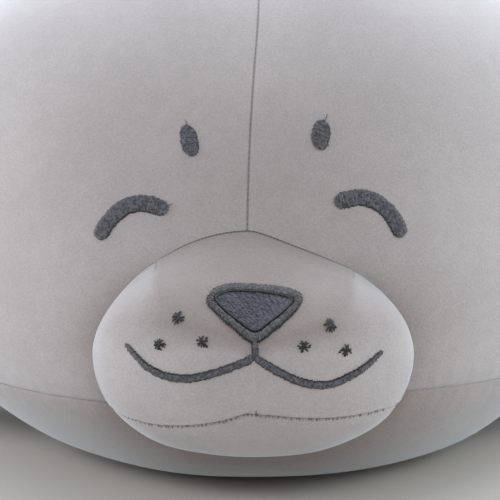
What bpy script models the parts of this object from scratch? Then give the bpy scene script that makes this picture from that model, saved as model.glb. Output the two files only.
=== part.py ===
"""Plush seal lying on its belly: sewn cover panels over a fibre filling, a padded snout and four flippers.

Metres, +Z up. The seal faces -Y, and +X is on the right of someone who looks at its face.
The origin is the centre of the flat patch of belly that the toy rests on.
"""

import math

import bmesh
import bpy
import numpy as np
from mathutils import Vector

# Body
BODY_LENGTH = 0.500
BODY_WIDTH = 0.352
BODY_HEIGHT = 0.242
FRONT_SEAM_HEIGHT = 0.040
REAR_SEAM_HEIGHT = 0.034
BELLY_SAG = 0.024  # how far the belly would bulge below the floor if nothing held it up
FLOOR_ROUNDING = 0.012
SECTION_SQUARENESS = 2.4

# The body's rise behind the face and its fall towards the tail, as exponents: 0.5 is round, 1 is a cone
FACE_WIDTH_RISE = 0.50
FACE_HEIGHT_RISE = 0.50
FACE_BELLY_RISE = 0.42
TAIL_WIDTH_FALL = 0.64
TAIL_HEIGHT_FALL = 0.95
TAIL_BELLY_FALL = 0.40

# Cloth, seams, and the clearance between pieces that touch
CLOTH = 0.0016
CLEARANCE = 0.0003
SEAT_CLEARANCE = 0.00045  # between the body and what is sewn onto it
SEAM_DIP = 0.0020
SEAM_DIP_WIDTH = 0.009
FACE_OPENING = 0.018  # half-width of the hole in the cover that the snout hides
TAIL_OPENING = 0.003  # half-width of the hole that the hind flippers hide

# Snout
SNOUT_WIDTH = 0.128
SNOUT_ABOVE = 0.0485  # from its widest level up to the end of the bridge, inside the forehead
SNOUT_BELOW = 0.0410
SNOUT_DEPTH = 0.042
SNOUT_BACK = 0.032
SNOUT_CENTRE_HEIGHT = 0.0645
SNOUT_STAND_OFF = 0.004  # from the foremost point of the body to the snout's widest section
SNOUT_WRAP = 118  # degrees round from the middle of its front to where its side ends inside the body
SNOUT_ROUNDNESS = 2.3
BRIDGE_SINK = 0.45
BRIDGE_TURN = 142

# Chin seam, on a disc that stands for the snout's front, with 1 as its rim
CHIN_SEAM_DROP = 0.235
CHIN_SEAM_END = 18  # degrees below level at which the seam reaches the rim
CHIN_SEAM_SPREAD = 9

# Embroidery
THREAD = 0.0009
EYE_SPACING = 0.099
EYE_HEIGHT = 0.1175
EYE_CHORD = 0.0285
EYE_RISE = 0.0066
EYE_TILT = 24
EYE_STROKE = 0.0072
BROW_SPACING = 0.0535
BROW_HEIGHT = 0.1485
BROW_WIDTH = 0.0074
BROW_LENGTH = 0.0118
BROW_TILT = 12
NOSE_WIDTH = 0.0360
NOSE_LENGTH = 0.0205
NOSE_TOP = 0.0285  # from the snout's centre up to the top of the nose
NOSE_RIM = 0.0036
MOUTH_STROKE = 0.0034
WHISKER_SPOT = 0.0054

# Flippers
FORE_LENGTH = 0.118
FORE_WIDTH = 0.080
FORE_THICKNESS = 0.022
FORE_SHARE = 0.36  # how far along the body the fore flippers are sewn on
FORE_RISE = 0.004  # from the side seam up to the middle of the flipper's root
FORE_HEADING = 42  # degrees, turned from sideways towards the tail
FORE_DROOP = 19
ROOT_WIDTH = 0.66  # a flipper's width where it is sewn on, as a share of its full width
HIND_LENGTH = 0.098
HIND_WIDTH = 0.072
HIND_THICKNESS = 0.022
HIND_SET_IN = 0.020
HIND_SPLAY = 24
HIND_DROOP = 11

STATIONS = 29
UPPER_COLUMNS = 11
LOWER_COLUMNS = 8
TOP_SEAM = UPPER_COLUMNS + 1
LEFT_SEAM = 2 * TOP_SEAM
SECTION_SAMPLES = 160
SNOUT_COLUMNS = 25
SNOUT_ROWS = 9
CHIN_ROWS = 6
SNOUT_ROOT = 1.12  # reach of the filling's last row on the same disc


def bump(share, rise, fall):
    """Rises from 0 as share**rise, falls back to 0 as (1 - share)**fall, and is 1 at its peak."""
    peak = rise / (rise + fall)
    return (share / peak) ** rise * ((1 - share) / (1 - peak)) ** fall


def settle(z):
    """Presses what lies below the floor flat onto it, with a smooth turn up at the edge of the flat patch."""
    turn = (z + FLOOR_ROUNDING) ** 2 / (4 * FLOOR_ROUNDING)
    return np.where(z < -FLOOR_ROUNDING, 0.0, np.where(z > FLOOR_ROUNDING, z, turn))


def half_width(share):
    return BODY_WIDTH / 2 * bump(share, FACE_WIDTH_RISE, TAIL_WIDTH_FALL)


def seam_height(share):
    return FRONT_SEAM_HEIGHT + (REAR_SEAM_HEIGHT - FRONT_SEAM_HEIGHT) * share


def section(share):
    """Right half of the cross-section at a share of the length: its upper and lower arcs, each from the side seam."""
    seam = seam_height(share)
    top = seam + (BODY_HEIGHT - seam) * bump(share, FACE_HEIGHT_RISE, TAIL_HEIGHT_FALL)
    bottom = seam - (seam + BELLY_SAG) * bump(share, FACE_BELLY_RISE, TAIL_BELLY_FALL)
    centre = (top + bottom) / 2
    half_height = (top - bottom) / 2
    power = 2 / SECTION_SQUARENESS
    at_seam = (seam - centre) / half_height
    seam_angle = math.copysign(math.asin(abs(at_seam) ** (1 / power)), at_seam)
    arcs = []
    for end in (math.pi / 2, -math.pi / 2):
        angle = np.linspace(seam_angle, end, SECTION_SAMPLES)
        x = half_width(share) * np.abs(np.cos(angle)) ** power
        z = centre + half_height * np.sign(np.sin(angle)) * np.abs(np.sin(angle)) ** power
        y = np.full_like(x, BODY_LENGTH * (share - 0.5))
        arcs.append(np.stack([x, y, settle(z)], axis=1))
    return arcs


def spread(arc, columns, seam_at_end):
    """Points at even steps along an arc that starts at a seam, with one more point close beside each seam."""
    along = np.concatenate([[0], np.cumsum(np.linalg.norm(np.diff(arc, axis=0), axis=1))])
    near = min(SEAM_DIP_WIDTH, along[-1] / (columns + 1))
    last = along[-1] - near if seam_at_end else along[-1]
    steps = np.concatenate([[0], np.linspace(near, last, columns), [along[-1]] if seam_at_end else []])
    return np.stack([np.interp(steps, along, arc[:, axis]) for axis in range(3)], axis=1)


def ring(share):
    """One closed ring of the body: right seam, over the back, left seam, under the belly."""
    upper, lower = section(share)
    upper = spread(upper, UPPER_COLUMNS, True)
    lower = spread(lower, LOWER_COLUMNS, False)
    flip = np.array([-1.0, 1.0, 1.0])
    return np.concatenate([upper, (upper * flip)[-2::-1], (lower * flip)[1:], lower[-2:0:-1]])


def share_at(wanted, tip):
    """The share of the length where the half-width is as wanted, nearest a tip (0 at the face, 1 at the tail)."""
    near, far = float(tip), 0.4
    for _ in range(40):
        middle = (near + far) / 2
        if half_width(middle) > wanted:
            far = middle
        else:
            near = middle
    return far


def body_rings():
    """The cover's outer surface as rings, closer together at the round ends, drawn in along the seams."""
    turns = [math.acos(1 - 2 * share) for share in (share_at(FACE_OPENING, 0), share_at(TAIL_OPENING, 1))]
    shares = (1 - np.cos(np.linspace(*turns, STATIONS))) / 2
    rings = np.array([ring(share) for share in shares])
    across = np.roll(rings, -1, axis=1) - np.roll(rings, 1, axis=1)
    out = np.cross(np.gradient(rings, axis=0), across)
    out /= np.linalg.norm(out, axis=2, keepdims=True)
    dip = SEAM_DIP * np.minimum(half_width(shares) / (4 * SEAM_DIP_WIDTH), 1)
    for column in (0, TOP_SEAM, LEFT_SEAM):
        rings[:, column] -= dip[:, None] * out[:, column]
    return rings


def grid_faces(rows, columns, wrap=False):
    """Quads between the points of a grid; wrap joins its last column to its first."""
    i, j = np.meshgrid(np.arange(rows - 1), np.arange(columns if wrap else columns - 1), indexing="ij")
    k = (j + 1) % columns
    corners = [i * columns + j, (i + 1) * columns + j, (i + 1) * columns + k, i * columns + k]
    return np.stack(corners, axis=-1).reshape(-1, 4).tolist()


def surface(grids, wrap=False):
    """A bmesh through grids of points, joined where their points meet."""
    form = bmesh.new()
    for grid in grids:
        verts = [form.verts.new(point) for point in grid.reshape(-1, 3)]
        for face in grid_faces(*grid.shape[:2], wrap):
            form.faces.new([verts[i] for i in face])
    bmesh.ops.remove_doubles(form, verts=form.verts, dist=1e-6)
    return form


def close_ends(form):
    """Fills each open end with a fan of triangles and turns all faces outwards."""
    ends = bmesh.ops.holes_fill(form, edges=[edge for edge in form.edges if edge.is_boundary])
    bmesh.ops.poke(form, faces=ends["faces"])
    bmesh.ops.recalc_face_normals(form, faces=form.faces)
    return form


def face_along(form, direction):
    """Turns an open surface so that, on the whole, its faces look along a direction."""
    form.normal_update()
    total = sum((face.normal * face.calc_area() for face in form.faces), Vector())
    if total.dot(Vector(direction)) < 0:
        bmesh.ops.reverse_faces(form, faces=form.faces)
    return form


def make_object(name, form, material, collection):
    """An object from a bmesh, shaded smooth except at its sharp edges."""
    mesh = bpy.data.meshes.new(name)
    form.to_mesh(mesh)
    form.free()
    mesh.shade_smooth()
    mesh.set_sharp_from_angle(angle=math.radians(45))
    mesh.materials.append(material)
    made = bpy.data.objects.new(name, mesh)
    collection.objects.link(made)
    return made


def thicken(made, thickness, inwards):
    """Makes a solid sheet of an open surface, on its inner or its outer side."""
    solid = made.modifiers.new("thickness", "SOLIDIFY")
    solid.thickness = thickness
    solid.offset = -1 if inwards else 1


def shift_surface(made, distance):
    """Moves a closed surface outwards by a distance."""
    move = made.modifiers.new("clearance", "DISPLACE")
    move.strength = distance
    move.mid_level = 0


def cut(made, cutter):
    trim = made.modifiers.new("seat", "BOOLEAN")
    trim.operation = "DIFFERENCE"
    trim.object = cutter


def eased(edge, inside):
    """A panel's edge drawn back towards the points inside it by half the clearance of a seam."""
    towards = inside - edge
    return edge + towards / np.linalg.norm(towards, axis=1, keepdims=True) * CLEARANCE / 2


def cover_panel(name, rings, first, last, outwards, material, collection):
    """One cover panel between two seam columns, cut back by half the clearance along each seam."""
    grid = rings[:, np.arange(first, last + 1) % rings.shape[1]]
    grid[:, 0] = eased(grid[:, 0], grid[:, 1])
    grid[:, -1] = eased(grid[:, -1], grid[:, -2])
    made = make_object(name, face_along(surface([grid]), outwards), material, collection)
    thicken(made, CLOTH, inwards=True)


def snout_radius(angle):
    """Distance from the snout's centre to its outline in a direction, seen from the front."""
    power = 2.1 - 0.25 * np.sin(angle)
    across = np.abs(np.cos(angle)) / (SNOUT_WIDTH / 2)
    upright = np.abs(np.sin(angle)) / np.where(np.sin(angle) > 0, SNOUT_ABOVE, SNOUT_BELOW)
    return (across**power + upright**power) ** (-1 / power)


def snout_surface(disc):
    """Points of the snout's surface for points of the unit disc.

    From the disc's centre to its rim, the sides and the chin run round past the widest section,
    like a cushion. The bridge instead runs out flat, so that it meets the forehead with no step.
    """
    out = np.linalg.norm(disc, axis=-1)
    angle = np.arctan2(disc[..., 1], disc[..., 0])
    bridge = np.maximum(np.sin(angle), 0) ** 1.5
    turn = np.radians(SNOUT_WRAP) * out
    power = 2 / SNOUT_ROUNDNESS
    depth = np.where(turn < np.pi / 2, SNOUT_DEPTH, SNOUT_BACK)
    cushion_forward = depth * np.sign(np.cos(turn)) * np.abs(np.cos(turn)) ** power
    cushion_out = np.sin(turn) ** power
    last = math.radians(BRIDGE_TURN)
    slope = (np.cos(last * out) - math.cos(last)) / (1 - math.cos(last))
    bridge_forward = SNOUT_DEPTH * (slope * (1 + BRIDGE_SINK) - BRIDGE_SINK)
    forward = cushion_forward + (bridge_forward - cushion_forward) * bridge
    radius = snout_radius(angle) * (cushion_out + (out - cushion_out) * bridge)
    x = radius * np.cos(angle)
    y = -BODY_LENGTH / 2 - SNOUT_STAND_OFF - forward
    z = SNOUT_CENTRE_HEIGHT + radius * np.sin(angle)
    return np.stack([x, y, z], axis=-1)


def snout_grid(above):
    """The snout's surface above or below the chin seam, as a grid whose first row is the seam.

    Its last row lies well inside the body, where only the filling reaches.
    """
    side = 1 if above else -1
    end = -math.radians(CHIN_SEAM_END)
    across = np.linspace(-1, 1, SNOUT_COLUMNS)
    level = -CHIN_SEAM_DROP + (math.sin(end) + CHIN_SEAM_DROP) * across**4
    seam = np.stack([across * math.cos(end), level], axis=-1)
    start = end + side * math.radians(CHIN_SEAM_SPREAD)
    angle = side * math.pi / 2 - (side * math.pi / 2 - start) * across
    rim = np.stack([np.cos(angle), np.sin(angle)], axis=-1)
    rows = np.linspace(0, 1, SNOUT_ROWS if above else CHIN_ROWS)[:, None, None] ** 1.2
    grid = snout_surface(np.concatenate([(1 - rows) * seam + rows * rim, SNOUT_ROOT * rim[None]]))
    upwards = snout_surface(seam + [0, 0.02]) - snout_surface(seam - [0, 0.02])
    out = np.cross(np.gradient(grid[0], axis=0), upwards)
    dip = SEAM_DIP * (1 - across**6)[:, None]
    grid[0] -= dip * out / np.linalg.norm(out, axis=1, keepdims=True)
    return grid


def flipper(name, root, size, heading, droop, material, collection):
    """A padded pouch from a coarse cage, with a narrow root and a broad rounded tip.

    size is its length, width and thickness. heading is its direction on the ground in degrees
    from +X, and droop is how many degrees it points down.
    """
    length, width, thickness = size
    turn = math.radians(heading)
    fall = math.radians(droop)
    forward = np.array([math.cos(turn) * math.cos(fall), math.sin(turn) * math.cos(fall), -math.sin(fall)])
    side = np.array([-math.sin(turn), math.cos(turn), 0.0])
    up = np.cross(forward, side)
    along = np.array([-0.28, 0.0, 0.30, 0.62, 0.88, 1.0])
    broad = np.array([ROOT_WIDTH, ROOT_WIDTH, 0.88, 1.05, 1.0, 0.60])
    deep = np.array([0.85, 0.95, 1.2, 1.1, 0.8, 0.35])
    angle = np.radians([0, 50, 90, 130, 180, 230, 270, 310])
    rings = (
        np.array(root)
        + length * along[:, None, None] * forward
        + width / 2 * (broad[:, None] * np.cos(angle))[..., None] * side
        + thickness / 2 * (deep[:, None] * np.sin(angle))[..., None] * up
    )
    made = make_object(name, close_ends(surface([rings], wrap=True)), material, collection)
    smooth = made.modifiers.new("padding", "SUBSURF")
    smooth.levels = 1
    smooth.render_levels = 1
    return made


def smooth_path(points, count, ring=False):
    """Even steps along a smooth curve through the given points; ring closes it."""
    points = np.asarray(points, float)
    if ring:
        points = np.concatenate([points, points[:1]])
        before, after = points[-2], points[1]
    else:
        before, after = 2 * points[0] - points[1], 2 * points[-1] - points[-2]
    framed = np.concatenate([[before], points, [after]])
    slopes = (framed[2:] - framed[:-2]) / 2
    t = np.linspace(0, 1, 25)[:, None]
    starts = (2 * t**3 - 3 * t**2 + 1) * points[:-1, None] + (t**3 - 2 * t**2 + t) * slopes[:-1, None]
    ends = (3 * t**2 - 2 * t**3) * points[1:, None] + (t**3 - t**2) * slopes[1:, None]
    fine = (starts + ends).reshape(-1, 2)
    along = np.concatenate([[0], np.cumsum(np.linalg.norm(np.diff(fine, axis=0), axis=1))])
    wanted = np.linspace(0, along[-1], count, endpoint=not ring)
    return np.stack([np.interp(wanted, along, fine[:, axis]) for axis in range(2)], axis=1)


def stroke(path, width, last_width=None):
    """A flat band of stitches along a path, with round ends, as a grid across and along."""
    tangent = np.gradient(path, axis=0)
    tangent /= np.linalg.norm(tangent, axis=1, keepdims=True)
    side = np.stack([-tangent[:, 1], tangent[:, 0]], axis=1)
    along = np.concatenate([[0], np.cumsum(np.linalg.norm(np.diff(path, axis=0), axis=1))])
    widths = np.interp(along, [0, along[-1]], [width, last_width or width])
    from_end = np.clip(np.minimum(along, along[-1] - along) / (widths / 2), 0, 1)
    half = widths / 2 * np.sqrt(1 - (1 - from_end) ** 2 * 0.8)
    lanes = np.array([-1.0, 0.0, 1.0])
    return path + lanes[:, None, None] * half[:, None] * side


def patch(outline):
    """A flat patch inside a closed outline, as two rings, the inner one at half its size."""
    centre = outline.mean(axis=0)
    return centre + np.array([1.0, 0.5])[:, None, None] * (outline - centre)


def stitched(name, flat, carrier, material, collection, wrap=False, filled=False):
    """Raised thread: a flat grid of (x, z) points laid onto its carrier from the front, then thickened."""
    y = np.full(flat.shape[:2] + (1,), -BODY_LENGTH / 2 - SNOUT_STAND_OFF - 2 * SNOUT_DEPTH)
    form = surface([np.concatenate([flat[..., :1], y, flat[..., 1:]], axis=-1)], wrap)
    if filled:
        form.verts.ensure_lookup_table()
        inner = form.verts[flat.shape[1]:]
        middle = form.faces.new(inner)
        bmesh.ops.poke(form, faces=[middle])
    bmesh.ops.recalc_face_normals(form, faces=form.faces)
    made = make_object(name, face_along(form, (0, -1, 0)), material, collection)
    lay = made.modifiers.new("lay on cloth", "SHRINKWRAP")
    lay.wrap_method = "PROJECT"
    lay.wrap_mode = "ABOVE_SURFACE"
    lay.use_project_y = True
    lay.use_positive_direction = True
    lay.target = carrier
    lay.offset = CLEARANCE
    thicken(made, THREAD, inwards=False)


def turned(points, degrees):
    """Flat points turned anticlockwise about their origin."""
    angle = math.radians(degrees)
    matrix = np.array([[math.cos(angle), math.sin(angle)], [-math.sin(angle), math.cos(angle)]])
    return np.asarray(points) @ matrix


def eye_path():
    """The closed eye on the right: a low arch whose outer end hangs down."""
    across = np.sin(np.linspace(-math.pi / 2, math.pi / 2, 15))
    arch = np.stack([across * EYE_CHORD / 2, EYE_RISE * (0.5 - across**2)], axis=1)
    return turned(arch, -EYE_TILT) + [EYE_SPACING / 2, EYE_HEIGHT]


def brow_outline():
    angle = np.linspace(0, 2 * math.pi, 14, endpoint=False)
    oval = np.stack([BROW_WIDTH / 2 * np.cos(angle), BROW_LENGTH / 2 * np.sin(angle)], axis=1)
    return turned(oval, -BROW_TILT) + [BROW_SPACING / 2, BROW_HEIGHT]


def nose_outline(inset):
    """A triangle on its point with round corners, moved in by inset all round."""
    half = NOSE_WIDTH / 2
    corners = [(-half, -0.30), (-0.62 * half, -0.05), (0, 0), (0.62 * half, -0.05), (half, -0.30),
               (0.78 * half, -0.60), (0.14 * half, -0.98), (-0.14 * half, -0.98), (-0.78 * half, -0.60)]
    outline = smooth_path([(x, z * NOSE_LENGTH) for x, z in corners], 30, ring=True)
    along = np.roll(outline, -1, axis=0) - np.roll(outline, 1, axis=0)
    along /= np.linalg.norm(along, axis=1, keepdims=True)
    inwards = np.stack([along[:, 1], -along[:, 0]], axis=1)
    return outline + inset * inwards + [0, SNOUT_CENTRE_HEIGHT + NOSE_TOP]


def mouth_path():
    """The right half of the smile, from under the nose to its outer end."""
    reach = SNOUT_WIDTH / 2
    middle = SNOUT_CENTRE_HEIGHT + NOSE_TOP - NOSE_LENGTH - 0.0056
    points = [(0.008, 0.0), (0.18, -0.0034), (0.34, -0.0072), (0.50, -0.0078), (0.62, -0.0046), (0.73, 0.0022)]
    return smooth_path([(x * reach, middle + z) for x, z in points], 20)


def spot_outline(x, z):
    """A small five-pointed tuft."""
    angle = np.linspace(0, 2 * math.pi, 10, endpoint=False) + math.pi / 2
    reach = np.where(np.arange(10) % 2 == 0, 1.0, 0.5) * WHISKER_SPOT / 2
    return np.stack([x + reach * np.cos(angle), z + reach * np.sin(angle)], axis=1)


def make_collection(name):
    made = bpy.data.collections.new(name)
    bpy.context.scene.collection.children.link(made)
    return made


def make_material(name, colour, roughness):
    made = bpy.data.materials.new(name)
    made.use_nodes = True
    shader = made.node_tree.nodes["Principled BSDF"]
    shader.inputs["Base Color"].default_value = (*colour, 1)
    shader.inputs["Roughness"].default_value = roughness
    return made


def main():
    for old in list(bpy.data.objects):
        bpy.data.objects.remove(old)
    seal = make_collection("plush_seal")
    cutters = make_collection("cutters")
    velour = make_material("grey_velour", (0.48, 0.46, 0.465), 0.95)
    fibre = make_material("polyester_fibre", (0.80, 0.80, 0.78), 0.90)
    thread = make_material("grey_thread", (0.075, 0.078, 0.090), 0.60)
    flip = np.array([-1.0, 1.0])

    rings = body_rings()
    columns = rings.shape[1]
    cover_panel("upper_panel_right", rings, 0, TOP_SEAM, (1, 0, 1), velour, seal)
    cover_panel("upper_panel_left", rings, TOP_SEAM, LEFT_SEAM, (-1, 0, 1), velour, seal)
    cover_panel("belly_panel", rings, LEFT_SEAM, columns, (0, 0, -1), velour, seal)
    filling = make_object("body_filling", close_ends(surface([rings[::2, ::2]], wrap=True)), fibre, seal)
    shift_surface(filling, -CLOTH - CLEARANCE)
    body = make_object("body_cutter", close_ends(surface([rings], wrap=True)), velour, cutters)
    shift_surface(body, SEAT_CLEARANCE)
    body.hide_render = True
    body.display_type = "WIRE"

    upper = snout_grid(above=True)
    lower = snout_grid(above=False)
    for name, grid in (("snout_panel", upper), ("chin_panel", lower)):
        grid = np.concatenate([eased(grid[0], grid[1])[None], grid[1:-1]])
        made = make_object(name, face_along(surface([grid]), (0, -1, 0)), velour, seal)
        thicken(made, CLOTH, inwards=True)
        cut(made, body)
    padding = make_object("snout_filling", close_ends(surface([upper, lower])), fibre, seal)
    shift_surface(padding, -CLOTH - CLEARANCE)
    cut(padding, body)

    fore_root = (half_width(FORE_SHARE), BODY_LENGTH * (FORE_SHARE - 0.5), seam_height(FORE_SHARE) + FORE_RISE)
    fore_size = (FORE_LENGTH, FORE_WIDTH, FORE_THICKNESS)
    splay = math.radians(HIND_SPLAY)
    hind_side = ROOT_WIDTH * HIND_WIDTH / 2 / math.cos(splay) - HIND_SET_IN * math.tan(splay) + CLEARANCE
    hind_root = (hind_side, BODY_LENGTH / 2 - HIND_SET_IN, REAR_SEAM_HEIGHT - HIND_THICKNESS * 0.2)
    hind_size = (HIND_LENGTH, HIND_WIDTH, HIND_THICKNESS)
    for word, side in (("right", 1), ("left", -1)):
        mirror = (side, 1, 1)
        heading = 90 + side * (FORE_HEADING - 90)
        root = np.multiply(fore_root, mirror)
        cut(flipper(f"fore_flipper_{word}", root, fore_size, heading, FORE_DROOP, velour, seal), body)
        root = np.multiply(hind_root, mirror)
        heading = 90 - side * HIND_SPLAY
        cut(flipper(f"hind_flipper_{word}", root, hind_size, heading, HIND_DROOP, velour, seal), body)

    snout = bpy.data.objects["snout_panel"]
    for word, way in (("right", 1), ("left", flip)):
        carrier = bpy.data.objects[f"upper_panel_{word}"]
        stitched(f"eye_{word}", stroke(eye_path() * way, EYE_STROKE), carrier, thread, seal)
        stitched(f"brow_{word}", patch(brow_outline() * way), carrier, thread, seal, wrap=True, filled=True)
        mouth = stroke(mouth_path() * way, MOUTH_STROKE, MOUTH_STROKE * 0.5)
        stitched(f"mouth_{word}", mouth, snout, thread, seal)
        for number, (x, up) in enumerate(((0.30, 0.0086), (0.55, 0.0066), (0.45, 0.0164)), 1):
            outline = spot_outline(x * SNOUT_WIDTH / 2, SNOUT_CENTRE_HEIGHT + up) * way
            stitched(f"whisker_spot_{word}_{number}", patch(outline), snout, thread, seal, wrap=True, filled=True)
    rim = np.stack([nose_outline(share * NOSE_RIM) for share in (0, 0.5, 1)])
    stitched("nose_rim", rim, snout, thread, seal, wrap=True)
    stitched("nose_fill", patch(nose_outline(NOSE_RIM + CLEARANCE)), snout, thread, seal, wrap=True, filled=True)
    base = SNOUT_CENTRE_HEIGHT + NOSE_TOP - NOSE_LENGTH
    drop = smooth_path([(0, base - CLEARANCE * 2), (0, base - 0.0044)], 4)
    stitched("philtrum", stroke(drop, MOUTH_STROKE * 0.7), snout, thread, seal)


main()
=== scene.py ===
"""Plush seal lying on its belly: velour covers over a soft filling, an embroidered face and four flippers.

Metres, +Z up. The seal faces -Y, and +X is on the right of someone who looks at its face.
Each operator makes one piece or one group of like pieces from the sizes in the sidebar panel.
"""

import math

import bpy
import numpy as np
from bpy.props import FloatProperty, FloatVectorProperty, PointerProperty
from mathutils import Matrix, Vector


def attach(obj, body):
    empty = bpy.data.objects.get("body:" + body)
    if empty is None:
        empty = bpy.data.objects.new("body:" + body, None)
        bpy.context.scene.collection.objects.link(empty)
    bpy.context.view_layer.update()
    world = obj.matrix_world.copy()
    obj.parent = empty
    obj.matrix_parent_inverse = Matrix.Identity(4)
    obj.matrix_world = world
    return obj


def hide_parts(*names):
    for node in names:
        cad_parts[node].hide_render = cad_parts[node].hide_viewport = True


bl_info = {
    "name": "Plush seal",
    "version": (1, 0, 0),
    "blender": (4, 5, 0),
    "location": "3D View > Sidebar > Plush seal",
    "description": "Makes a plush seal with seams, a padded snout, flippers and embroidery",
    "category": "Add Mesh",
}

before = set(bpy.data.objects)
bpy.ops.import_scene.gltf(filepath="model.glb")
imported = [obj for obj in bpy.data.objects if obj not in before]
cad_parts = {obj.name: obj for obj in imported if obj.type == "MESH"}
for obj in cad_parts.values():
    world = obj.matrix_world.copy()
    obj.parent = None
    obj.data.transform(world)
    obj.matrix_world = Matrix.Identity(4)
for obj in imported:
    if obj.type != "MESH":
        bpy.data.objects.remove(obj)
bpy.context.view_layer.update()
BODY = "root"
SIDES = {"left": -1, "right": 1}

# Steps beside a seam, where the mesh is closest, in metres from the seam
SEAM_STEPS = np.array([0, 0.0003, 0.0006, 0.0010, 0.0015, 0.0022, 0.0032, 0.0046, 0.0066, 0.0092])
# From one sewing stitch to the next: in the body's and the flippers' seams, and in the snout's
SEWN_PITCH = 0.0026
SNOUT_SEWN_PITCH = 0.0015
# Columns of the meshes: even ones over an upper panel and under the belly, and those along the chin seam
UPPER_COLUMNS = 34
UNDER_COLUMNS = 40
SNOUT_COLUMNS = 241
# The mesh of one thread: corners of its section, and sections along it
STITCH_SIDES = 6
STITCH_RINGS = 8


def length_property(name, description, default):
    """A size in metres for the panel."""
    return FloatProperty(name=name, description=description, default=default, unit="LENGTH", precision=4)


def share_property(name, description, default):
    """A plain number for the panel."""
    return FloatProperty(name=name, description=description, default=default, min=0.0, subtype="FACTOR")


def angle_property(name, description, degrees):
    """An angle for the panel, given in degrees and kept in radians."""
    return FloatProperty(name=name, description=description, default=math.radians(degrees), subtype="ANGLE")


def colour_property(name, description, default):
    """A colour for the panel."""
    return FloatVectorProperty(name=name, description=description, default=default, subtype="COLOR",
                               size=3, min=0.0, max=1.0)


class SealBodySettings(bpy.types.PropertyGroup):
    """Sizes of the body and its seams"""

    length: length_property("Length", "From the forehead to the tail end of the body", 0.500)
    width: length_property("Width", "Widest level of the body", 0.352)
    height: length_property("Height", "From the floor to the top of the head", 0.242)
    front_seam: length_property("Front seam height", "Height of the side seam at the face", 0.040)
    rear_seam: length_property("Rear seam height", "Height of the side seam at the tail", 0.034)
    sag: length_property("Belly sag", "How far the belly would hang below the floor", 0.024)
    rounding: length_property("Belly rounding", "Turn from the flat belly up to its sides", 0.012)
    squareness: share_property("Squareness", "2 is a round section, more is squarer", 2.4)
    underside: share_property("Underside roundness",
                              "How much rounder the underside is between seam and floor", 0.28)
    right_underside: share_property("Right underside roundness",
                                    "The same on the right, where the belly sags", 0.06)
    seam_depth: length_property("Seam depth", "Depth of the crease along a seam", 0.0010)
    pucker: length_property("Pucker height", "Height of the small folds beside the side seams", 0.00018)
    lean: length_property("Seam lean", "How far the head seam wanders sideways", 0.0026)
    right_rise: length_property("Right seam rise", "How much higher the right side seam starts", 0.0055)


class SealSnoutSettings(bpy.types.PropertyGroup):
    """Sizes of the padded snout"""

    width: length_property("Width", "Widest level of the snout", 0.128)
    above: length_property("Above", "From the widest level up to the end of the bridge", 0.0485)
    below: length_property("Below", "From the widest level down to the chin", 0.0410)
    depth: length_property("Depth", "From the widest section forwards", 0.042)
    back: length_property("Back", "From the widest section backwards", 0.032)
    centre: length_property("Centre height", "Height of the snout's widest level", 0.0645)
    stand_off: length_property("Stand-off", "From the body's foremost point to the widest section", 0.004)
    roundness: share_property("Roundness", "2 is round from front to side, more is fuller", 2.3)
    chin_drop: share_property("Chin seam drop", "How low the chin seam runs, as a share", 0.205)
    right_dent: share_property("Right dent", "How much less the snout reaches up and right", 0.035)
    peak: share_property("Peak", "How far the middle of the upper join rises to a point", 0.07)
    left_swell: share_property("Left swell", "How much more the snout reaches up and left", 0.043)


class SealFlipperSettings(bpy.types.PropertyGroup):
    """Sizes and directions of the flippers"""

    fore_length: length_property("Fore length", "Length of a fore flipper", 0.118)
    fore_width: length_property("Fore width", "Width of a fore flipper", 0.080)
    hind_length: length_property("Hind length", "Length of a hind flipper", 0.098)
    hind_width: length_property("Hind width", "Width of a hind flipper", 0.072)
    thickness: length_property("Thickness", "Thickness of the padding", 0.022)
    fore_turn: angle_property("Fore turn", "How far a fore flipper points away from the tail", 48)
    fore_droop: angle_property("Fore droop", "How far a fore flipper slopes down", 19)
    hind_turn: angle_property("Hind turn", "How far a hind flipper points away from the tail", 24)
    hind_droop: angle_property("Hind droop", "How far a hind flipper slopes down", 11)


class SealFaceSettings(bpy.types.PropertyGroup):
    """Sizes of the embroidery"""

    pitch: length_property("Stitch pitch", "From one stitch to the next", 0.00042)
    thread: length_property("Thread width", "Width of one thread", 0.00046)
    raised: length_property("Raised", "Height of the embroidery above the cloth", 0.0009)
    eye_width: length_property("Eye width", "Width of the band of stitches", 0.0070)
    spot: length_property("Whisker spot", "Width of a whisker spot", 0.0054)


class SealClothSettings(bpy.types.PropertyGroup):
    """Colours of cloth, threads, floor and backdrop"""

    velour: colour_property("Velour", "Colour of the cloth", (0.48, 0.455, 0.465))
    velour_shade: colour_property("Velour shade", "Colour of the darker patches of nap", (0.445, 0.42, 0.43))
    # Painted shade: the share of the colour left where the cloth's painted-shade attribute is 1, darker and
    # warmer
    painted_shade_tint: colour_property("Painted shade tint", "Share of the colour left where the nap lies down",
                             (0.58, 0.525, 0.49))
    thread: colour_property("Thread", "Colour of the embroidery", (0.13, 0.135, 0.155))
    rim: colour_property("Rim thread", "Colour of the nose's rim", (0.103, 0.106, 0.115))
    nose: colour_property("Nose thread", "Colour of the nose's fill", (0.082, 0.080, 0.112))
    # The same colour paints the shadow in the gap round the nose's fill
    knot: colour_property("Knotted thread", "Colour of the spots and of the gap round the nose's fill",
                          (0.026, 0.026, 0.030))
    seam: colour_property("Seam thread", "Colour of the sewing thread in the seams", (0.24, 0.22, 0.21))
    floor: colour_property("Floor", "Colour of the floor", (0.58, 0.565, 0.54))
    backdrop: colour_property("Backdrop", "Colour seen past the floor", (0.73, 0.82, 0.90))


def swell(share, rise, fall):
    """share**rise times (1 - share)**fall, scaled to be 1 at its peak."""
    peak = rise / (rise + fall)
    return (share / peak) ** rise * ((1 - share) / (1 - peak)) ** fall


def settle(z, rounding):
    """Flat at 0 below the floor, unchanged above it, joined by a parabola."""
    turn = (z + rounding) ** 2 / (4 * rounding)
    return np.where(z < -rounding, 0.0, np.where(z > rounding, z, turn))


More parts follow.
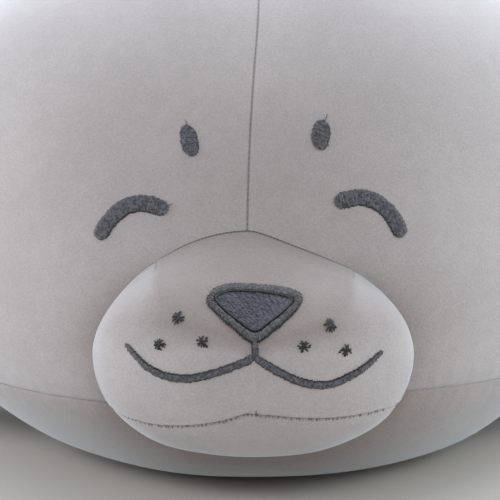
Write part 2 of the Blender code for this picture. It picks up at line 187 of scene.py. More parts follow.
def body_levels(size, share):
    """Half width, side seam, top and underside at a share of the length, each a swelling curve."""
    half = size.width / 2 * swell(share, 0.50, 0.64)
    seam = size.front_seam + (size.rear_seam - size.front_seam) * share
    top = seam + (size.height - seam) * swell(share, 0.50, 0.95)
    bottom = seam - (seam + size.sag) * swell(share, 0.42, 0.40)
    return half, seam, top, bottom


def body_arcs(size, shares, samples=140):
    """Cross-sections as superellipses, |x/half|**n + |z/tall|**n = 1, split at the side seams; n is
    smaller in the middle of the underside.

    The first result runs from the right seam over the back to the left seam, the second from
    there under the belly to the right seam. Each is rows by points by axes.
    """
    share = shares[:, None]
    half, seam, top, bottom = body_levels(size, share)
    centre = (top + bottom) / 2
    tall = (top - bottom) / 2
    at_seam = (seam - centre) / tall
    seam_angle = np.sign(at_seam) * np.arcsin(np.abs(at_seam) ** (size.squareness / 2))
    fraction = np.linspace(0, 1, samples)
    arcs = []
    up, down = math.pi / 2, -math.pi / 2
    for end, rounder in ((up, 0), (down, size.underside), (down, size.right_underside)):
        power = 2 / (size.squareness - rounder * np.sin(math.pi * fraction))
        angle = seam_angle + (end - seam_angle) * fraction
        x = half * np.abs(np.cos(angle)) ** power
        z = centre + tall * np.sign(np.sin(angle)) * np.abs(np.sin(angle)) ** power
        y = np.broadcast_to(size.length * (share - 0.5), x.shape)
        arcs.append(np.stack([x, y, settle(z, size.rounding)], axis=-1))
    flip = np.array([-1.0, 1.0, 1.0])
    upper = np.concatenate([arcs[0], (arcs[0] * flip)[:, -2::-1]], axis=1)
    lower = np.concatenate([arcs[1] * flip, arcs[2][:, -2::-1]], axis=1)
    return upper, lower


def run_lengths(lines):
    """Distance run along each line of points, from 0 at its start."""
    steps = np.linalg.norm(np.diff(lines, axis=1), axis=2)
    return np.concatenate([np.zeros((len(lines), 1)), np.cumsum(steps, axis=1)], axis=1)


def points_at(lines, wanted):
    """Points of each line at the wanted distances from its start, by straight interpolation."""
    runs = run_lengths(lines)
    axes = [np.stack([np.interp(w, r, line[:, axis]) for w, r, line in zip(wanted, runs, lines)])
            for axis in range(3)]
    return np.stack(axes, axis=-1)


def panel_steps(lengths, columns):
    """Distances across a panel from seam to seam: the close steps beside both seams, even ones between."""
    scale = np.minimum(lengths / (4 * SEAM_STEPS[-1]), 1)[:, None]
    first = SEAM_STEPS * scale
    middle = np.linspace(0, 1, columns + 2)[1:-1]
    middle = first[:, -1:] + (lengths[:, None] - 2 * first[:, -1:]) * middle
    return np.concatenate([first, middle, lengths[:, None] - first[:, ::-1]], axis=1)


def normals_of(points, wrap):
    """Unit normals of a grid, as the cross product of its two directions."""
    if wrap:
        across = np.roll(points, -1, axis=1) - np.roll(points, 1, axis=1)
    else:
        across = np.gradient(points, axis=1)
    out = np.cross(np.gradient(points, axis=0), across)
    return out / np.maximum(np.linalg.norm(out, axis=-1, keepdims=True), 1e-12)


def outward_sign(grid):
    """1 where normals_of points away from the middle of each ring of a tube, -1 where it points inwards."""
    return np.sign((normals_of(grid, wrap=True) * (grid - grid.mean(axis=1, keepdims=True))).sum())


def well(gap, width):
    """1 on a line and 0 away from it, as a bell curve of the distance."""
    return np.exp(-((gap / width) ** 2))


def ripple(run, wave, seed):
    """Uneven waves along a seam: two cosines whose lengths don't divide each other."""
    slow = np.cos(2 * math.pi * run / wave + seed)
    quick = np.cos(2 * math.pi * run / (wave * 0.61) + 2 * seed)
    return 0.6 * slow + 0.4 * quick


def lumps(points, wave, seed):
    """A slow uneven field in space: a sum of three products of sines."""
    x, y, z = (points[..., axis] * 2 * math.pi / wave for axis in range(3))
    first = np.sin(x + seed) * np.sin(y * 0.83 + 1.7 * seed)
    second = np.sin(y * 1.31 + seed) * np.sin(z * 1.17 + 0.6 * seed)
    third = np.sin(z * 0.9 + 2.1 * seed) * np.sin(x * 1.43 - seed)
    return (first + second + third) / 3


def grid_quads(rows, columns, wrap=False):
    """Corner numbers of the quads of a grid; wrap joins its last column to its first."""
    i, j = np.meshgrid(np.arange(rows - 1), np.arange(columns if wrap else columns - 1), indexing="ij")
    k = (j + 1) % columns
    corners = [i * columns + j, i * columns + k, (i + 1) * columns + k, (i + 1) * columns + j]
    return np.stack(corners, axis=-1).reshape(-1, 4)


def fan(ring, tip):
    """Triangles from a closed ring of point numbers to one tip."""
    after = np.roll(ring, -1)
    return np.stack([ring, after, np.full_like(ring, tip)], axis=1)


def make_piece(name, points, faces, material, maps=None):
    """A mesh object from points and arrays of corner numbers, one array for each number of corners.

    The maps' first two columns become its UV map, and the next ones its two attributes: tone, how dark a
    seam's painted shade is, and the share of painted shade on the cloth.
    """
    mesh = bpy.data.meshes.new(name)
    mesh.vertices.add(len(points))
    mesh.vertices.foreach_set("co", np.asarray(points, np.float32).ravel())
    corners = np.concatenate([group.ravel() for group in faces]).astype(np.int32)
    counts = np.concatenate([np.full(len(group), group.shape[1]) for group in faces])
    starts = np.concatenate([[0], np.cumsum(counts)[:-1]]).astype(np.int32)
    mesh.loops.add(len(corners))
    mesh.loops.foreach_set("vertex_index", corners)
    mesh.polygons.add(len(counts))
    mesh.polygons.foreach_set("loop_start", starts)
    if maps is not None:
        maps = np.asarray(maps, np.float32)
        layer = mesh.uv_layers.new(name="seam")
        layer.data.foreach_set("uv", maps[corners, :2].ravel())
        for label, column in zip(("tone", "nap_and_painted_shade"), maps.T[2:]):
            mesh.attributes.new(label, "FLOAT", "POINT").data.foreach_set("value", column.copy())
    mesh.update(calc_edges=True)
    mesh.shade_smooth()
    mesh.materials.append(material)
    made = bpy.data.objects.new(name, mesh)
    bpy.context.scene.collection.objects.link(made)
    return made


def closed_tube(name, grid, maps, material):
    """A piece from a grid that wraps round, closed by triangles from its last rings to their middles."""
    rows, columns = grid.shape[:2]
    points = np.concatenate([grid.reshape(-1, 3), [grid[0].mean(axis=0), grid[-1].mean(axis=0)]])
    flat = maps.reshape(-1, maps.shape[-1])
    maps = np.concatenate([flat, [maps[0].mean(axis=0), maps[-1].mean(axis=0)]])
    first, last = np.arange(columns), np.arange(columns) + (rows - 1) * columns
    tips = rows * columns, rows * columns + 1
    faces = [grid_quads(rows, columns, wrap=True), fan(first[::-1], tips[0]), fan(last, tips[1])]
    if outward_sign(grid) > 0:
        faces = [group[:, ::-1] for group in faces]
    return make_piece(name, points, faces, material, maps)


def carried(piece, slot, *nodes):
    """Hangs a piece on the seal's one body, in place of the nodes that it stands for."""
    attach(piece, BODY)
    if nodes:
        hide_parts(*nodes)


def fill_inputs(node, values):
    """Sets a node's inputs, named or numbered: a socket is linked, anything else becomes the value."""
    for label, value in values.items():
        if isinstance(value, bpy.types.NodeSocket):
            node.id_data.links.new(value, node.inputs[label])
        else:
            node.inputs[label].default_value = value


def node_at(tree, kind, place, inputs=None, **settings):
    """A new node at a place in the editor, with its settings and its inputs."""
    made = tree.nodes.new(kind)
    made.location = place
    for key, value in settings.items():
        setattr(made, key, value)
    fill_inputs(made, inputs or {})
    return made


def math_node(tree, operation, place, *values):
    """The result of a math node; its values are numbers or sockets, as in all these helpers."""
    return node_at(tree, "ShaderNodeMath", place, dict(enumerate(values)), operation=operation).outputs[0]


def noise_node(tree, place, coordinate, scale, detail):
    """Noise over a coordinate, from 0 to 1."""
    inputs = {"Vector": coordinate, "Scale": scale, "Detail": detail}
    return node_at(tree, "ShaderNodeTexNoise", place, inputs).outputs["Fac"]


def ranged(tree, place, value, low, high, to_low, to_high):
    """A value brought smoothly from one range to another."""
    inputs = {"Value": value, "From Min": low, "From Max": high, "To Min": to_low, "To Max": to_high}
    made = node_at(tree, "ShaderNodeMapRange", place, inputs, interpolation_type="SMOOTHSTEP")
    return made.outputs["Result"]


def mixed(tree, place, factor, first, second):
    """Two colours mixed by a factor."""
    inputs = {0: factor, 6: first, 7: second}
    return node_at(tree, "ShaderNodeMix", place, inputs, data_type="RGBA").outputs[2]


def scaled(tree, place, colour, factor):
    """A colour times a number."""
    inputs = {0: colour, "Scale": factor}
    return node_at(tree, "ShaderNodeVectorMath", place, inputs, operation="SCALE").outputs[0]


def bumped(tree, height, strength, distance):
    """The surface's normal with a height laid over it."""
    inputs = {"Height": height, "Strength": strength, "Distance": distance}
    return node_at(tree, "ShaderNodeBump", (-250, -150), inputs).outputs["Normal"]


def seam_parts(tree):
    """The two columns of a piece's UV map, as sockets."""
    place = node_at(tree, "ShaderNodeUVMap", (-1100, 100), uv_map="seam").outputs["UV"]
    return node_at(tree, "ShaderNodeSeparateXYZ", (-900, 100), {0: place}).outputs


def group_tree(name, inputs):
    """A shader node group that takes named colours and numbers and gives a colour and a height."""
    tree = bpy.data.node_groups.new(name, "ShaderNodeTree")
    for label, default in inputs.items():
        kind = "NodeSocketColor" if isinstance(default, tuple) else "NodeSocketFloat"
        tree.interface.new_socket(name=label, in_out="INPUT", socket_type=kind).default_value = default
    tree.interface.new_socket(name="Colour", in_out="OUTPUT", socket_type="NodeSocketColor")
    tree.interface.new_socket(name="Height", in_out="OUTPUT", socket_type="NodeSocketFloat")
    given = node_at(tree, "NodeGroupInput", (-900, 0)).outputs
    return tree, given, node_at(tree, "NodeGroupOutput", (700, 0))


def placed_group(tree, name, make, inputs):
    """The outputs of a node for the shader group of this name, which is made at its first use."""
    group = bpy.data.node_groups.get(name) or make()
    return node_at(tree, "ShaderNodeGroup", (-500, 200), inputs, node_tree=group).outputs


# Painted shade: the colours in the depth of a seam and at the ends of a stitch, where it goes into the cloth
SEAM_SHADE = (0.10, 0.085, 0.075, 1)
STITCH_END_SHADE = (0.008, 0.008, 0.010, 1)


def nap_group():
    """Short pile: two colours mixed by broad and fine noise, painted shade in seams and their stitch holes,
    and a height for its fibres.
    """
    tree, given, result = group_tree("short_nap", {
        "Colour": (0.5, 0.5, 0.5, 1), "Shade": (0.4, 0.4, 0.4, 1),
        "Seam gap": 1.0, "Seam run": 0.0, "Seam tone": 0.5,
    })
    place = node_at(tree, "ShaderNodeTexCoord", (-1100, 300)).outputs["Object"]
    # Noise scales per metre: wide patches, tufts and single fibres
    broad = noise_node(tree, (-700, 500), place, 22, 3)
    middle = noise_node(tree, (-700, 300), place, 160, 2)
    fine = noise_node(tree, (-700, 100), place, 1500, 2)
    drift = math_node(tree, "ADD", (-450, 450), math_node(tree, "MULTIPLY", (-560, 450), broad, 0.65),
                      math_node(tree, "MULTIPLY", (-560, 350), middle, 0.35))
    shade = ranged(tree, (-250, 450), drift, 0.36, 0.64, 0.0, 1.0)
    base = mixed(tree, (-50, 400), shade, given["Colour"], given["Shade"])
    grained = scaled(tree, (130, 350), base, ranged(tree, (-250, 200), fine, 0.3, 0.7, 0.91, 1.07))
    # Painted shade beside a seam, in dots at each stitch hole
    beside = ranged(tree, (-250, 0), given["Seam gap"], 0.0, 0.00062, 1.0, 0.0)
    turns = math_node(tree, "MULTIPLY", (-600, -150), given["Seam run"], 2 * math.pi)
    wave = math_node(tree, "SINE", (-450, -150), turns)
    dots = ranged(tree, (-250, -200), wave, -0.6, 0.8, 0.60, 1.0)
    dotted = math_node(tree, "MULTIPLY", (-150, -50), beside, dots)
    dark = math_node(tree, "MULTIPLY", (-50, -50), dotted, given["Seam tone"])
    dark = math_node(tree, "MINIMUM", (60, -50), dark, 0.95)
    seamed = mixed(tree, (320, 300), dark, grained, SEAM_SHADE)
    height = math_node(tree, "ADD", (200, 0), math_node(tree, "MULTIPLY", (50, 50), fine, 0.7),
                       math_node(tree, "MULTIPLY", (50, -100), middle, 0.3))
    fill_inputs(result, {"Colour": seamed, "Height": height})
    return tree


def twist_group():
    """Thread: painted shade at both ends of a stitch, where it goes into the cloth, with fine slanting
    strands round it.
    """
    tree, given, result = group_tree("twisted_thread", {
        "Colour": (0.1, 0.1, 0.12, 1), "End shade": 0.7, "End share": 0.14,
    })
    around, along, _ = seam_parts(tree)
    round_turns = math_node(tree, "MULTIPLY", (-700, 250), around, 2 * math.pi * 3)
    long_turns = math_node(tree, "MULTIPLY", (-700, 100), along, 2 * math.pi * 5)
    slant = math_node(tree, "ADD", (-550, 200), round_turns, long_turns)
    strands = math_node(tree, "SINE", (-400, 200), slant)
    # Painted shade at both ends of a stitch
    centred = math_node(tree, "SUBTRACT", (-700, -50), along, 0.5)
    from_middle = math_node(tree, "ABSOLUTE", (-550, -50), centred)
    from_end = math_node(tree, "SUBTRACT", (-450, -200), 0.5, from_middle)
    past = math_node(tree, "SUBTRACT", (-450, -100), given["End share"], from_end)
    share = math_node(tree, "DIVIDE", (-400, -50), past, given["End share"])
    ends = ranged(tree, (-350, -50), share, 0.0, 0.6, 0.0, 1.0)
    drop = math_node(tree, "MULTIPLY", (-200, -50), ends, given["End shade"])
    place = node_at(tree, "ShaderNodeTexCoord", (-1100, 500)).outputs["Object"]
    uneven = ranged(tree, (-200, 450), noise_node(tree, (-450, 450), place, 900, 2), 0.3, 0.7, 0.55, 1.5)
    lit = scaled(tree, (0, 300), given["Colour"], uneven)
    dimmed = mixed(tree, (250, 200), drop, lit, STITCH_END_SHADE)
    fill_inputs(result, {"Colour": dimmed, "Height": strands})
    return tree


def new_material(name):
    """A material, its tree and its shader, or no tree and shader where the material was made before."""
    made = bpy.data.materials.get(name)
    if made:
        return made, None, None
    made = bpy.data.materials.new(name)
    made.use_nodes = True
    return made, made.node_tree, made.node_tree.nodes["Principled BSDF"]


def velour_material():
    """Grey velour with a sheen, and painted shade that makes it darker and warmer where a piece's
    painted-shade attribute is high.
    """
    made, tree, shader = new_material("grey_velour")
    if tree is None:
        return made
    cloth = bpy.context.scene.seal_cloth
    gap, run, _ = seam_parts(tree)
    # How dark a seam's painted shade is, and how much painted shade lies on the cloth elsewhere
    tone, painted_shade_mask = (node_at(tree, "ShaderNodeAttribute", place, attribute_name=label).outputs["Fac"]
                   for label, place in (("tone", (-900, -100)), ("nap_and_painted_shade", (-900, 700))))
    nap_and_painted_shade = placed_group(tree, "short_nap", nap_group, {
        "Colour": (*cloth.velour, 1), "Shade": (*cloth.velour_shade, 1),
        "Seam gap": gap, "Seam run": run, "Seam tone": tone,
    })
    # Painted shade: the colour turns darker and warmer towards the painted-shade tint
    painted_shade_factor = mixed(tree, (-500, 700), painted_shade_mask, (1, 1, 1, 1), (*cloth.painted_shade_tint, 1))
    both = {0: nap_and_painted_shade["Colour"], 1: painted_shade_factor}
    shaded = node_at(tree, "ShaderNodeVectorMath", (0, 300), both, operation="MULTIPLY").outputs[0]
    fill_inputs(shader, {
        "Base Color": shaded, "Normal": bumped(tree, nap_and_painted_shade["Height"], 0.25, 0.0006),
        "Roughness": 0.92, "Specular IOR Level": 0.15,
        "Sheen Weight": 0.55, "Sheen Roughness": 0.40, "Sheen Tint": (0.80, 0.92, 1, 1),
    })
    return made


def thread_material(name, colour, end_shade, end_share):
    """Embroidery thread with a soft gloss, and painted shade over a share of its length at both ends."""
    made, tree, shader = new_material(name)
    if tree is None:
        return made
    twist = placed_group(tree, "twisted_thread", twist_group, {
        "Colour": (*colour, 1), "End shade": end_shade, "End share": end_share,
    })
    fill_inputs(shader, {
        "Base Color": twist["Colour"], "Normal": bumped(tree, twist["Height"], 0.4, 0.00008),
        "Roughness": 0.42, "Specular IOR Level": 0.3,
    })
    return made


def plain_material(name, colour, roughness):
    """One matt colour all over."""
    made, tree, shader = new_material(name)
    if tree is None:
        return made
    fill_inputs(shader, {"Base Color": (*colour, 1), "Roughness": roughness, "Specular IOR Level": 0.2})
    return made


def seam_lean(size, y):
    """Sideways wander of the head seam: from left of the middle at the snout to right of it on top."""
    from_face = (y + size.length / 2) / size.length
    rise = np.clip(from_face / 0.15, 0, 1)
    fall = np.clip((from_face - 0.35) / 0.4, 0, 1)
    return size.lean * (-1 + 2 * rise * rise * (3 - 2 * rise)) * (1 - fall)


def body_grid(size, rows=380):
    """The body's skin: superellipse sections from nose to tail, then creased and puckered along its normals.

    Gives the grid and, for each point, its gap to the nearest seam, the stitches run along it,
    how dark the seam's painted shade is and how much painted shade lies on the cloth.
    """
    tip_share = 0.0004
    turn = np.linspace(math.acos(1 - 2 * tip_share), math.acos(1 - 2 * (1 - tip_share)), rows)
    shares = (1 - np.cos(turn)) / 2
    upper, lower = body_arcs(size, shares)
    upper_run = run_lengths(upper)[:, -1]
    lower_run = run_lengths(lower)[:, -1]
    tip = np.minimum(upper_run / 0.2, 1)
    top_at = upper_run / 2 - seam_lean(size, upper[:, 0, 1]) * tip
    start = size.right_rise * tip * np.clip(1.2 - shares / 0.25, 0, 1)
    # Each ring goes on past its own start, up to where the right seam has risen to
    loop = np.concatenate([upper, lower[:, 1:], upper[:, 1:60]], axis=1)
    right = (start[:, None] + panel_steps(top_at - start, UPPER_COLUMNS))[:, :-1]
    left = (top_at[:, None] + panel_steps(upper_run - top_at, UPPER_COLUMNS))[:, :-1]
    under = (upper_run[:, None] + panel_steps(lower_run + start, UNDER_COLUMNS))[:, :-1]
    points = points_at(loop, np.concatenate([right, left, under], axis=1))
    ends = (start[:, None], top_at[:, None], upper_run[:, None], (upper_run + lower_run + start)[:, None])
    # The head seam counts as more than a metre away from the belly
    top_gap = np.concatenate([ends[1] - right, left - ends[1], under + 1.0], axis=1)
    under_gap = np.minimum(under - ends[2], ends[3] - under)
    side_gap = np.concatenate([right - ends[0], ends[2] - left, under_gap], axis=1)
    out = normals_of(points, wrap=True)
    run = run_lengths(points.transpose(1, 0, 2)).T
    fade = np.minimum(upper_run / 0.15, 1)[:, None]
    depth = size.seam_depth * (well(top_gap, 0.0007) * 0.8 + well(top_gap, 0.0030) * 0.25)
    depth = depth + size.seam_depth * (well(side_gap, 0.0009) * 0.9 + well(side_gap, 0.0055) * 1.1)
    raised = size.pucker * ripple(run, 0.0125, 0.7) * np.exp(-side_gap / 0.009) * (1 - well(side_gap, 0.0012))
    raised = raised + size.pucker * 0.25 * ripple(run, 0.0085, 2.2) * np.exp(-top_gap / 0.004)
    behind_face = np.clip((points[..., 1] + size.length / 2 - 0.02) / 0.04, 0, 1)
    raised = raised + 0.0007 * lumps(points, 0.11, 1.3) * behind_face
    moved = points + out * (fade * (raised - depth))[..., None]
    moved[..., 2] = np.maximum(moved[..., 2], 0.0)
    # How dark the painted shade in a seam is: the head seam, then the side seams
    tone = np.where(top_gap < side_gap, 0.50, 0.26)
    # Painted shade, darker and warmer: under the belly, beside the snout's lower part and in the middle of
    # the face
    belly = top_gap >= 1.0
    nap_and_painted_shade = 0.50 * belly + 1.05 * beside_snout(points) + 0.26 * between_eyes(points)
    return moved, np.stack([np.minimum(top_gap, side_gap), run / SEWN_PITCH, tone, nap_and_painted_shade], axis=-1)


def between_eyes(points):
    """Where painted shade lies in the middle of the face: 1 there, fading with a bell curve of its distance
    sideways and in height.
    """
    across, height = points[..., 0] / 0.055, (points[..., 2] - 0.125) / 0.045
    return np.exp(-(across**2) - height**2) * (points[..., 1] < 0)


def beside_snout(points):
    """Where painted shade lies beside the snout: 1 on the body right beside the snout's lower part, exp(-gap
    / 15 mm) away from it, and 0 above it.
    """
    size = bpy.context.scene.seal_snout
    angle = np.linspace(-math.pi, math.pi, 120, endpoint=False)
    unit = np.stack([np.cos(angle), np.sin(angle)], axis=-1)
    join = snout_surface(size, unit * join_reach(size, angle)[:, None])
    flat = points.reshape(-1, 3)
    square = (flat**2).sum(axis=1)[:, None] + (join**2).sum(axis=1) - 2 * flat @ join.T
    gap = np.sqrt(np.maximum(square.min(axis=1), 0)).reshape(points.shape[:-1])
    return np.exp(-gap / 0.015) * np.clip((0.104 - points[..., 2]) / 0.030, 0, 1)


class SEAL_OT_body(bpy.types.Operator):
    """Makes the body's velour skin with its head seam and side seams"""

    bl_idname = "seal.body"
    bl_label = "Body"

    def execute(self, context):
        grid, maps = body_grid(context.scene.seal_body)
        piece = closed_tube("body_cover", grid, maps, velour_material())
        carried(piece, "velour", "upper_panel_left", "upper_panel_right", "belly_panel", "body_filling")
        return {"FINISHED"}


def body_height(size, points):
    """How far points are outside the body's smooth surface, from its superellipse equation over its slope."""
    def level(place):
        share = np.clip(place[..., 1] / size.length + 0.5, 1e-5, 1 - 1e-5)
        half, seam, top, bottom = body_levels(size, share)
        across = np.abs(place[..., 0]) / half
        upright = np.abs(place[..., 2] - (top + bottom) / 2) / ((top - bottom) / 2)
        return (across**size.squareness + upright**size.squareness) ** (1 / size.squareness) - 1

    step = 1e-4
    slopes = [(level(points + step * unit) - level(points - step * unit)) / (2 * step) for unit in np.eye(3)]
    return level(points) / np.sqrt(sum(slope**2 for slope in slopes))


def snout_radius(size, angle):
    """Reach of the snout's outline in a direction: a superellipse with different halves above and below."""
    power = 2.1 - 0.25 * np.sin(angle)
    across = np.abs(np.cos(angle)) / (size.width / 2)
    upright = np.abs(np.sin(angle)) / np.where(np.sin(angle) > 0, size.above, size.below)
    right_dent = size.right_dent * np.maximum(np.cos(angle), 0) * np.maximum(np.sin(angle), 0) ** 3 * 3
    left_swell = size.left_swell * np.maximum(-np.cos(angle), 0) * np.maximum(np.sin(angle), 0) ** 3 * 3
    peak = size.peak * np.clip(1 - np.sqrt(np.cos(angle) ** 2 + 0.0009) / 0.68, 0, 1) * (np.sin(angle) > 0)
    return (across**power + upright**power) ** (-1 / power) * (1 - right_dent + left_swell + peak)


# How far the snout's cushion turns from its middle to its rim, and the part of a cosine its bridge runs on
RIM_TURN = math.radians(118)
BRIDGE_TURN = math.radians(142)


def snout_surface(size, disc):
    """The snout over a unit disc: a cushion that turns from middle to rim, cos**p forwards by sin**p
    outwards, blended at the top into a bridge that runs out on a cosine slope."""
    out = np.linalg.norm(disc, axis=-1)
    angle = np.arctan2(disc[..., 1], disc[..., 0])
    bridge = np.maximum(np.sin(angle), 0) ** 1.5
    turn = RIM_TURN * out
    power = 2 / size.roundness
    depth = np.where(turn < np.pi / 2, size.depth, size.back)
    cushion_forward = depth * np.sign(np.cos(turn)) * np.abs(np.cos(turn)) ** power
    cushion_out = np.abs(np.sin(turn)) ** power
    slope = (np.cos(BRIDGE_TURN * out) - math.cos(BRIDGE_TURN)) / (1 - math.cos(BRIDGE_TURN))
    bridge_forward = size.depth * (slope * 1.45 - 0.45)
    forward = cushion_forward + (bridge_forward - cushion_forward) * bridge
    radius = snout_radius(size, angle) * (cushion_out + (out - cushion_out) * bridge)
    body = bpy.context.scene.seal_body
    x = radius * np.cos(angle)
    y = -body.length / 2 - size.stand_off - forward
    z = size.centre + radius * np.sin(angle)
    return np.stack([x, y, z], axis=-1)


def join_reach(size, angle):
    """How far out on the disc the snout's surface meets the body, by halving the interval 30 times."""
    body = bpy.context.scene.seal_body
    unit = np.stack([np.cos(angle), np.sin(angle)], axis=-1)
    near, far = np.full_like(angle, 0.4), np.full_like(angle, 1.12)
    for _ in range(30):
        middle = (near + far) / 2
        inside = body_height(body, snout_surface(size, unit * middle[..., None])) < 0
        far = np.where(inside, middle, far)
        near = np.where(inside, near, middle)
    return (near + far) / 2


# The chin seam's small waves on the disc: their height, their place across and their width
CHIN_WAVES = [(-0.034, -0.36, 0.30), (0.020, 0.45, 0.35), (0.012, -0.035, 0.05), (0.060, -0.90, 0.16)]


def snout_half(size, above, columns, rows):
    """The snout above or below its chin seam: rows run from the seam, a quartic curve on the disc,
    to where the surface meets the body, and the last rows roll over into it."""
    side = 1 if above else -1
    end = -math.radians(18)
    reach = join_reach(size, np.array([end]))[0]
    across = np.sin(np.linspace(-1, 1, columns) * math.pi / 2 * 0.9) / math.sin(math.pi / 2 * 0.9)
    level = -size.chin_drop + (math.sin(end) * reach + size.chin_drop) * across**4
    for height, place, width in CHIN_WAVES:
        level = level + height * well(across - place, width)
    seam = np.stack([across * math.cos(end) * reach, level], axis=-1)
    start = end + side * math.radians(9)
    angle = side * math.pi / 2 - (side * math.pi / 2 - start) * across
    rim = np.stack([np.cos(angle), np.sin(angle)], axis=-1) * join_reach(size, angle)[:, None]
    even = np.linspace(0, 1, rows)
    share = (even - 0.10 * np.sin(2 * math.pi * even))[:, None, None]
    rolled = np.array([1.02, 1.05, 1.10])[:, None, None]
    return snout_surface(size, np.concatenate([(1 - share) * seam + share * rim, rolled * rim[None]]))


# Darts at the snout's upper edge: x, the heights where they start and end, and their lean sideways
DARTS = [(-0.0393, 0.0988, 0.0920, 0.0), (0.0406, 0.0957, 0.0890, 0.2)]


def dart_marks(grid):
    """The darts' creases as bell curves of the distance to them, the fold that sinks the cloth outside them,
    x exp(-x / 11 mm), and a mask that is 1 between them."""
    crease, fold, between = 0.0, 0.0, 1.0
    for x, top, low, lean in DARTS:
        outside = np.sign(x) * (grid[..., 0] - x - lean * (grid[..., 2] - top))
        length_left = np.clip((grid[..., 2] - low) / 0.006, 0, 1)
        crease = crease + well(outside, 0.0010) * length_left
        past_dart = np.maximum(outside, 0)
        fold = fold + 0.20 * past_dart * np.exp(-past_dart / 0.011) * length_left
        soft = 0.0030 + 1.2 * np.maximum(low - grid[..., 2], 0)
        between = between * np.clip(0.5 - outside / soft, 0, 1)
    return crease, fold, between


def snout_skin(size, above, rows):
    """The snout's skin on one side of the chin seam: its surface, moved along its normals by the seam's dip,
    its stitched edge, the darts and soft lumps, with the same maps as the body's."""
    grid = snout_half(size, above, SNOUT_COLUMNS, rows)
    out = normals_of(grid, wrap=False) * (-1 if above else 1)
    run_up = run_lengths(grid.transpose(1, 0, 2)).T
    run_across = run_lengths(grid)
    edge_gap = np.abs(run_up[rows - 1] - run_up)
    past = (np.arange(len(grid)) > rows - 1)[:, None]
    ends = 1 - np.abs(np.linspace(-1, 1, SNOUT_COLUMNS)) ** 8
    crease, fold, between = dart_marks(grid)
    chin = (well(run_up, 0.0007) * 0.0010 + well(run_up, 0.0030) * 0.0005) * ends
    fold = fold * (edge_gap > 0) * np.minimum(edge_gap / 0.004, 1)
    depth = chin + 0.0020 * past + 0.0004 * crease + fold
    raised = 0.00026 * ripple(run_across, 0.0041, 1.1) * np.exp(-run_up / 0.004) * ends
    raised = raised + (0.00045 * well(run_up - 0.0018, 0.0011) * ends if above else 0.0)
    raised = raised + 0.0004 * lumps(grid, 0.045, 0.4) * (1 - well(edge_gap, 0.010))
    # Painted shade along the chin seam, the join with the body and the darts' creases
    chin_gap = np.where(ends > 0.3, run_up, 1)
    join_gap = np.where(past, 0.0, edge_gap * (0.40 if above else 0.62))
    gap = np.minimum(np.minimum(chin_gap, join_gap), 0.0012 * (1 - crease))
    tone = np.where(chin_gap < join_gap, 0.32, 1.3 if above else 0.9) * np.ones_like(gap)
    tone = np.where(crease > 0.2, 0.5, tone)
    # Painted shade on the parts that face up, most between the darts, and a little under the chin seam
    facing_up = np.clip((out[..., 2] - 0.2) / 0.42, 0, 1)
    nap_and_painted_shade = facing_up * (0.45 + 0.42 * between) + (0.0 if above else 0.12)
    moved = grid + out * (raised - depth)[..., None]
    return moved, np.stack([gap, run_across / SNOUT_SEWN_PITCH, tone, nap_and_painted_shade], axis=-1)


class SEAL_OT_snout(bpy.types.Operator):
    """Makes the snout's velour skin with its chin seam and the darts at its upper edge"""

    bl_idname = "seal.snout"
    bl_label = "Snout"

    def execute(self, context):
        parts = []
        for above, rows in ((True, 120), (False, 64)):
            grid, maps = snout_skin(context.scene.seal_snout, above, rows)
            quads = grid_quads(*grid.shape[:2])
            parts.append((grid.reshape(-1, 3), [quads if above else quads[:, ::-1]], maps.reshape(-1, 4)))
        points, faces, maps = merged(parts)
        piece = make_piece("snout_cover", points, faces, velour_material(), maps)
        carried(piece, "velour", "snout_panel", "chin_panel", "snout_filling")
        return {"FINISHED"}


# A flipper's breadth and depth at stations along it, as shares of its width and thickness
FLIPPER_STATIONS = [-0.28, 0.0, 0.30, 0.62, 0.80, 1.0]
FLIPPER_BREADTHS = [0.66, 0.66, 0.86, 1.0, 1.0, 0.92]
FLIPPER_DEPTHS = [0.80, 0.90, 1.1, 1.05, 0.9, 0.7]


def flipper_grid(root, size, turn, droop, rows=110, columns=96):
    """A pouch of two sheets that leaves its root at a turn from +X and slopes down by its droop.

    Its width and thickness follow smooth profiles along its length, its section is a lens,
    sin times (1 - 0.35 cos**4), and its tip is closed by a quarter ellipse.
    """
    length, width, thickness = size
    forward = np.array([math.cos(turn) * math.cos(droop), math.sin(turn) * math.cos(droop), -math.sin(droop)])
    side = np.array([-math.sin(turn), math.cos(turn), 0.0])
    up = np.cross(forward, side)
    along = np.linspace(0, 1, rows)
    along = -0.26 + 1.24 * np.sin(along * math.pi / 2) ** 0.9
    broad = np.interp(along, FLIPPER_STATIONS, FLIPPER_BREADTHS)
    deep = np.interp(along, FLIPPER_STATIONS, FLIPPER_DEPTHS)
    soft = np.hanning(17) / np.hanning(17).sum()
    broad, deep = (np.convolve(np.pad(line, 8, mode="edge"), soft, mode="valid") for line in (broad, deep))
    tip = np.sqrt(np.clip(1 - np.clip((along - 0.60) / 0.385, 0, 1) ** 2.4, 0, 1))
    angle = np.linspace(0, 2 * math.pi, columns, endpoint=False)
    angle = angle - 0.18 * np.sin(2 * angle)
    lens = np.sin(angle) * (1 - 0.35 * np.cos(angle) ** 4)
    grid = (np.array(root) + length * along[:, None, None] * forward
            + width / 2 * ((broad * tip)[:, None] * np.cos(angle))[..., None] * side
            + thickness / 2 * ((deep * tip**0.8)[:, None] * lens)[..., None] * up)
    out = normals_of(grid, wrap=True) * outward_sign(grid)
    gap = np.broadcast_to(np.abs(np.sin(angle)) * width / 2 * 0.5, grid.shape[:2])
    run = np.broadcast_to(length * along[:, None], grid.shape[:2])
    raised = 0.0006 * ripple(run, 0.011, 1.9) * np.exp(-gap / 0.006) * (1 - well(gap, 0.0015))
    raised = raised + 0.0005 * lumps(grid, 0.05, 2.4) - 0.0009 * well(gap, 0.0010)
    # The third column: how dark the painted shade in the side seam is
    maps = np.stack([gap, run / SEWN_PITCH, np.full_like(gap, 0.5)], axis=-1)
    return grid + out * raised[..., None], maps


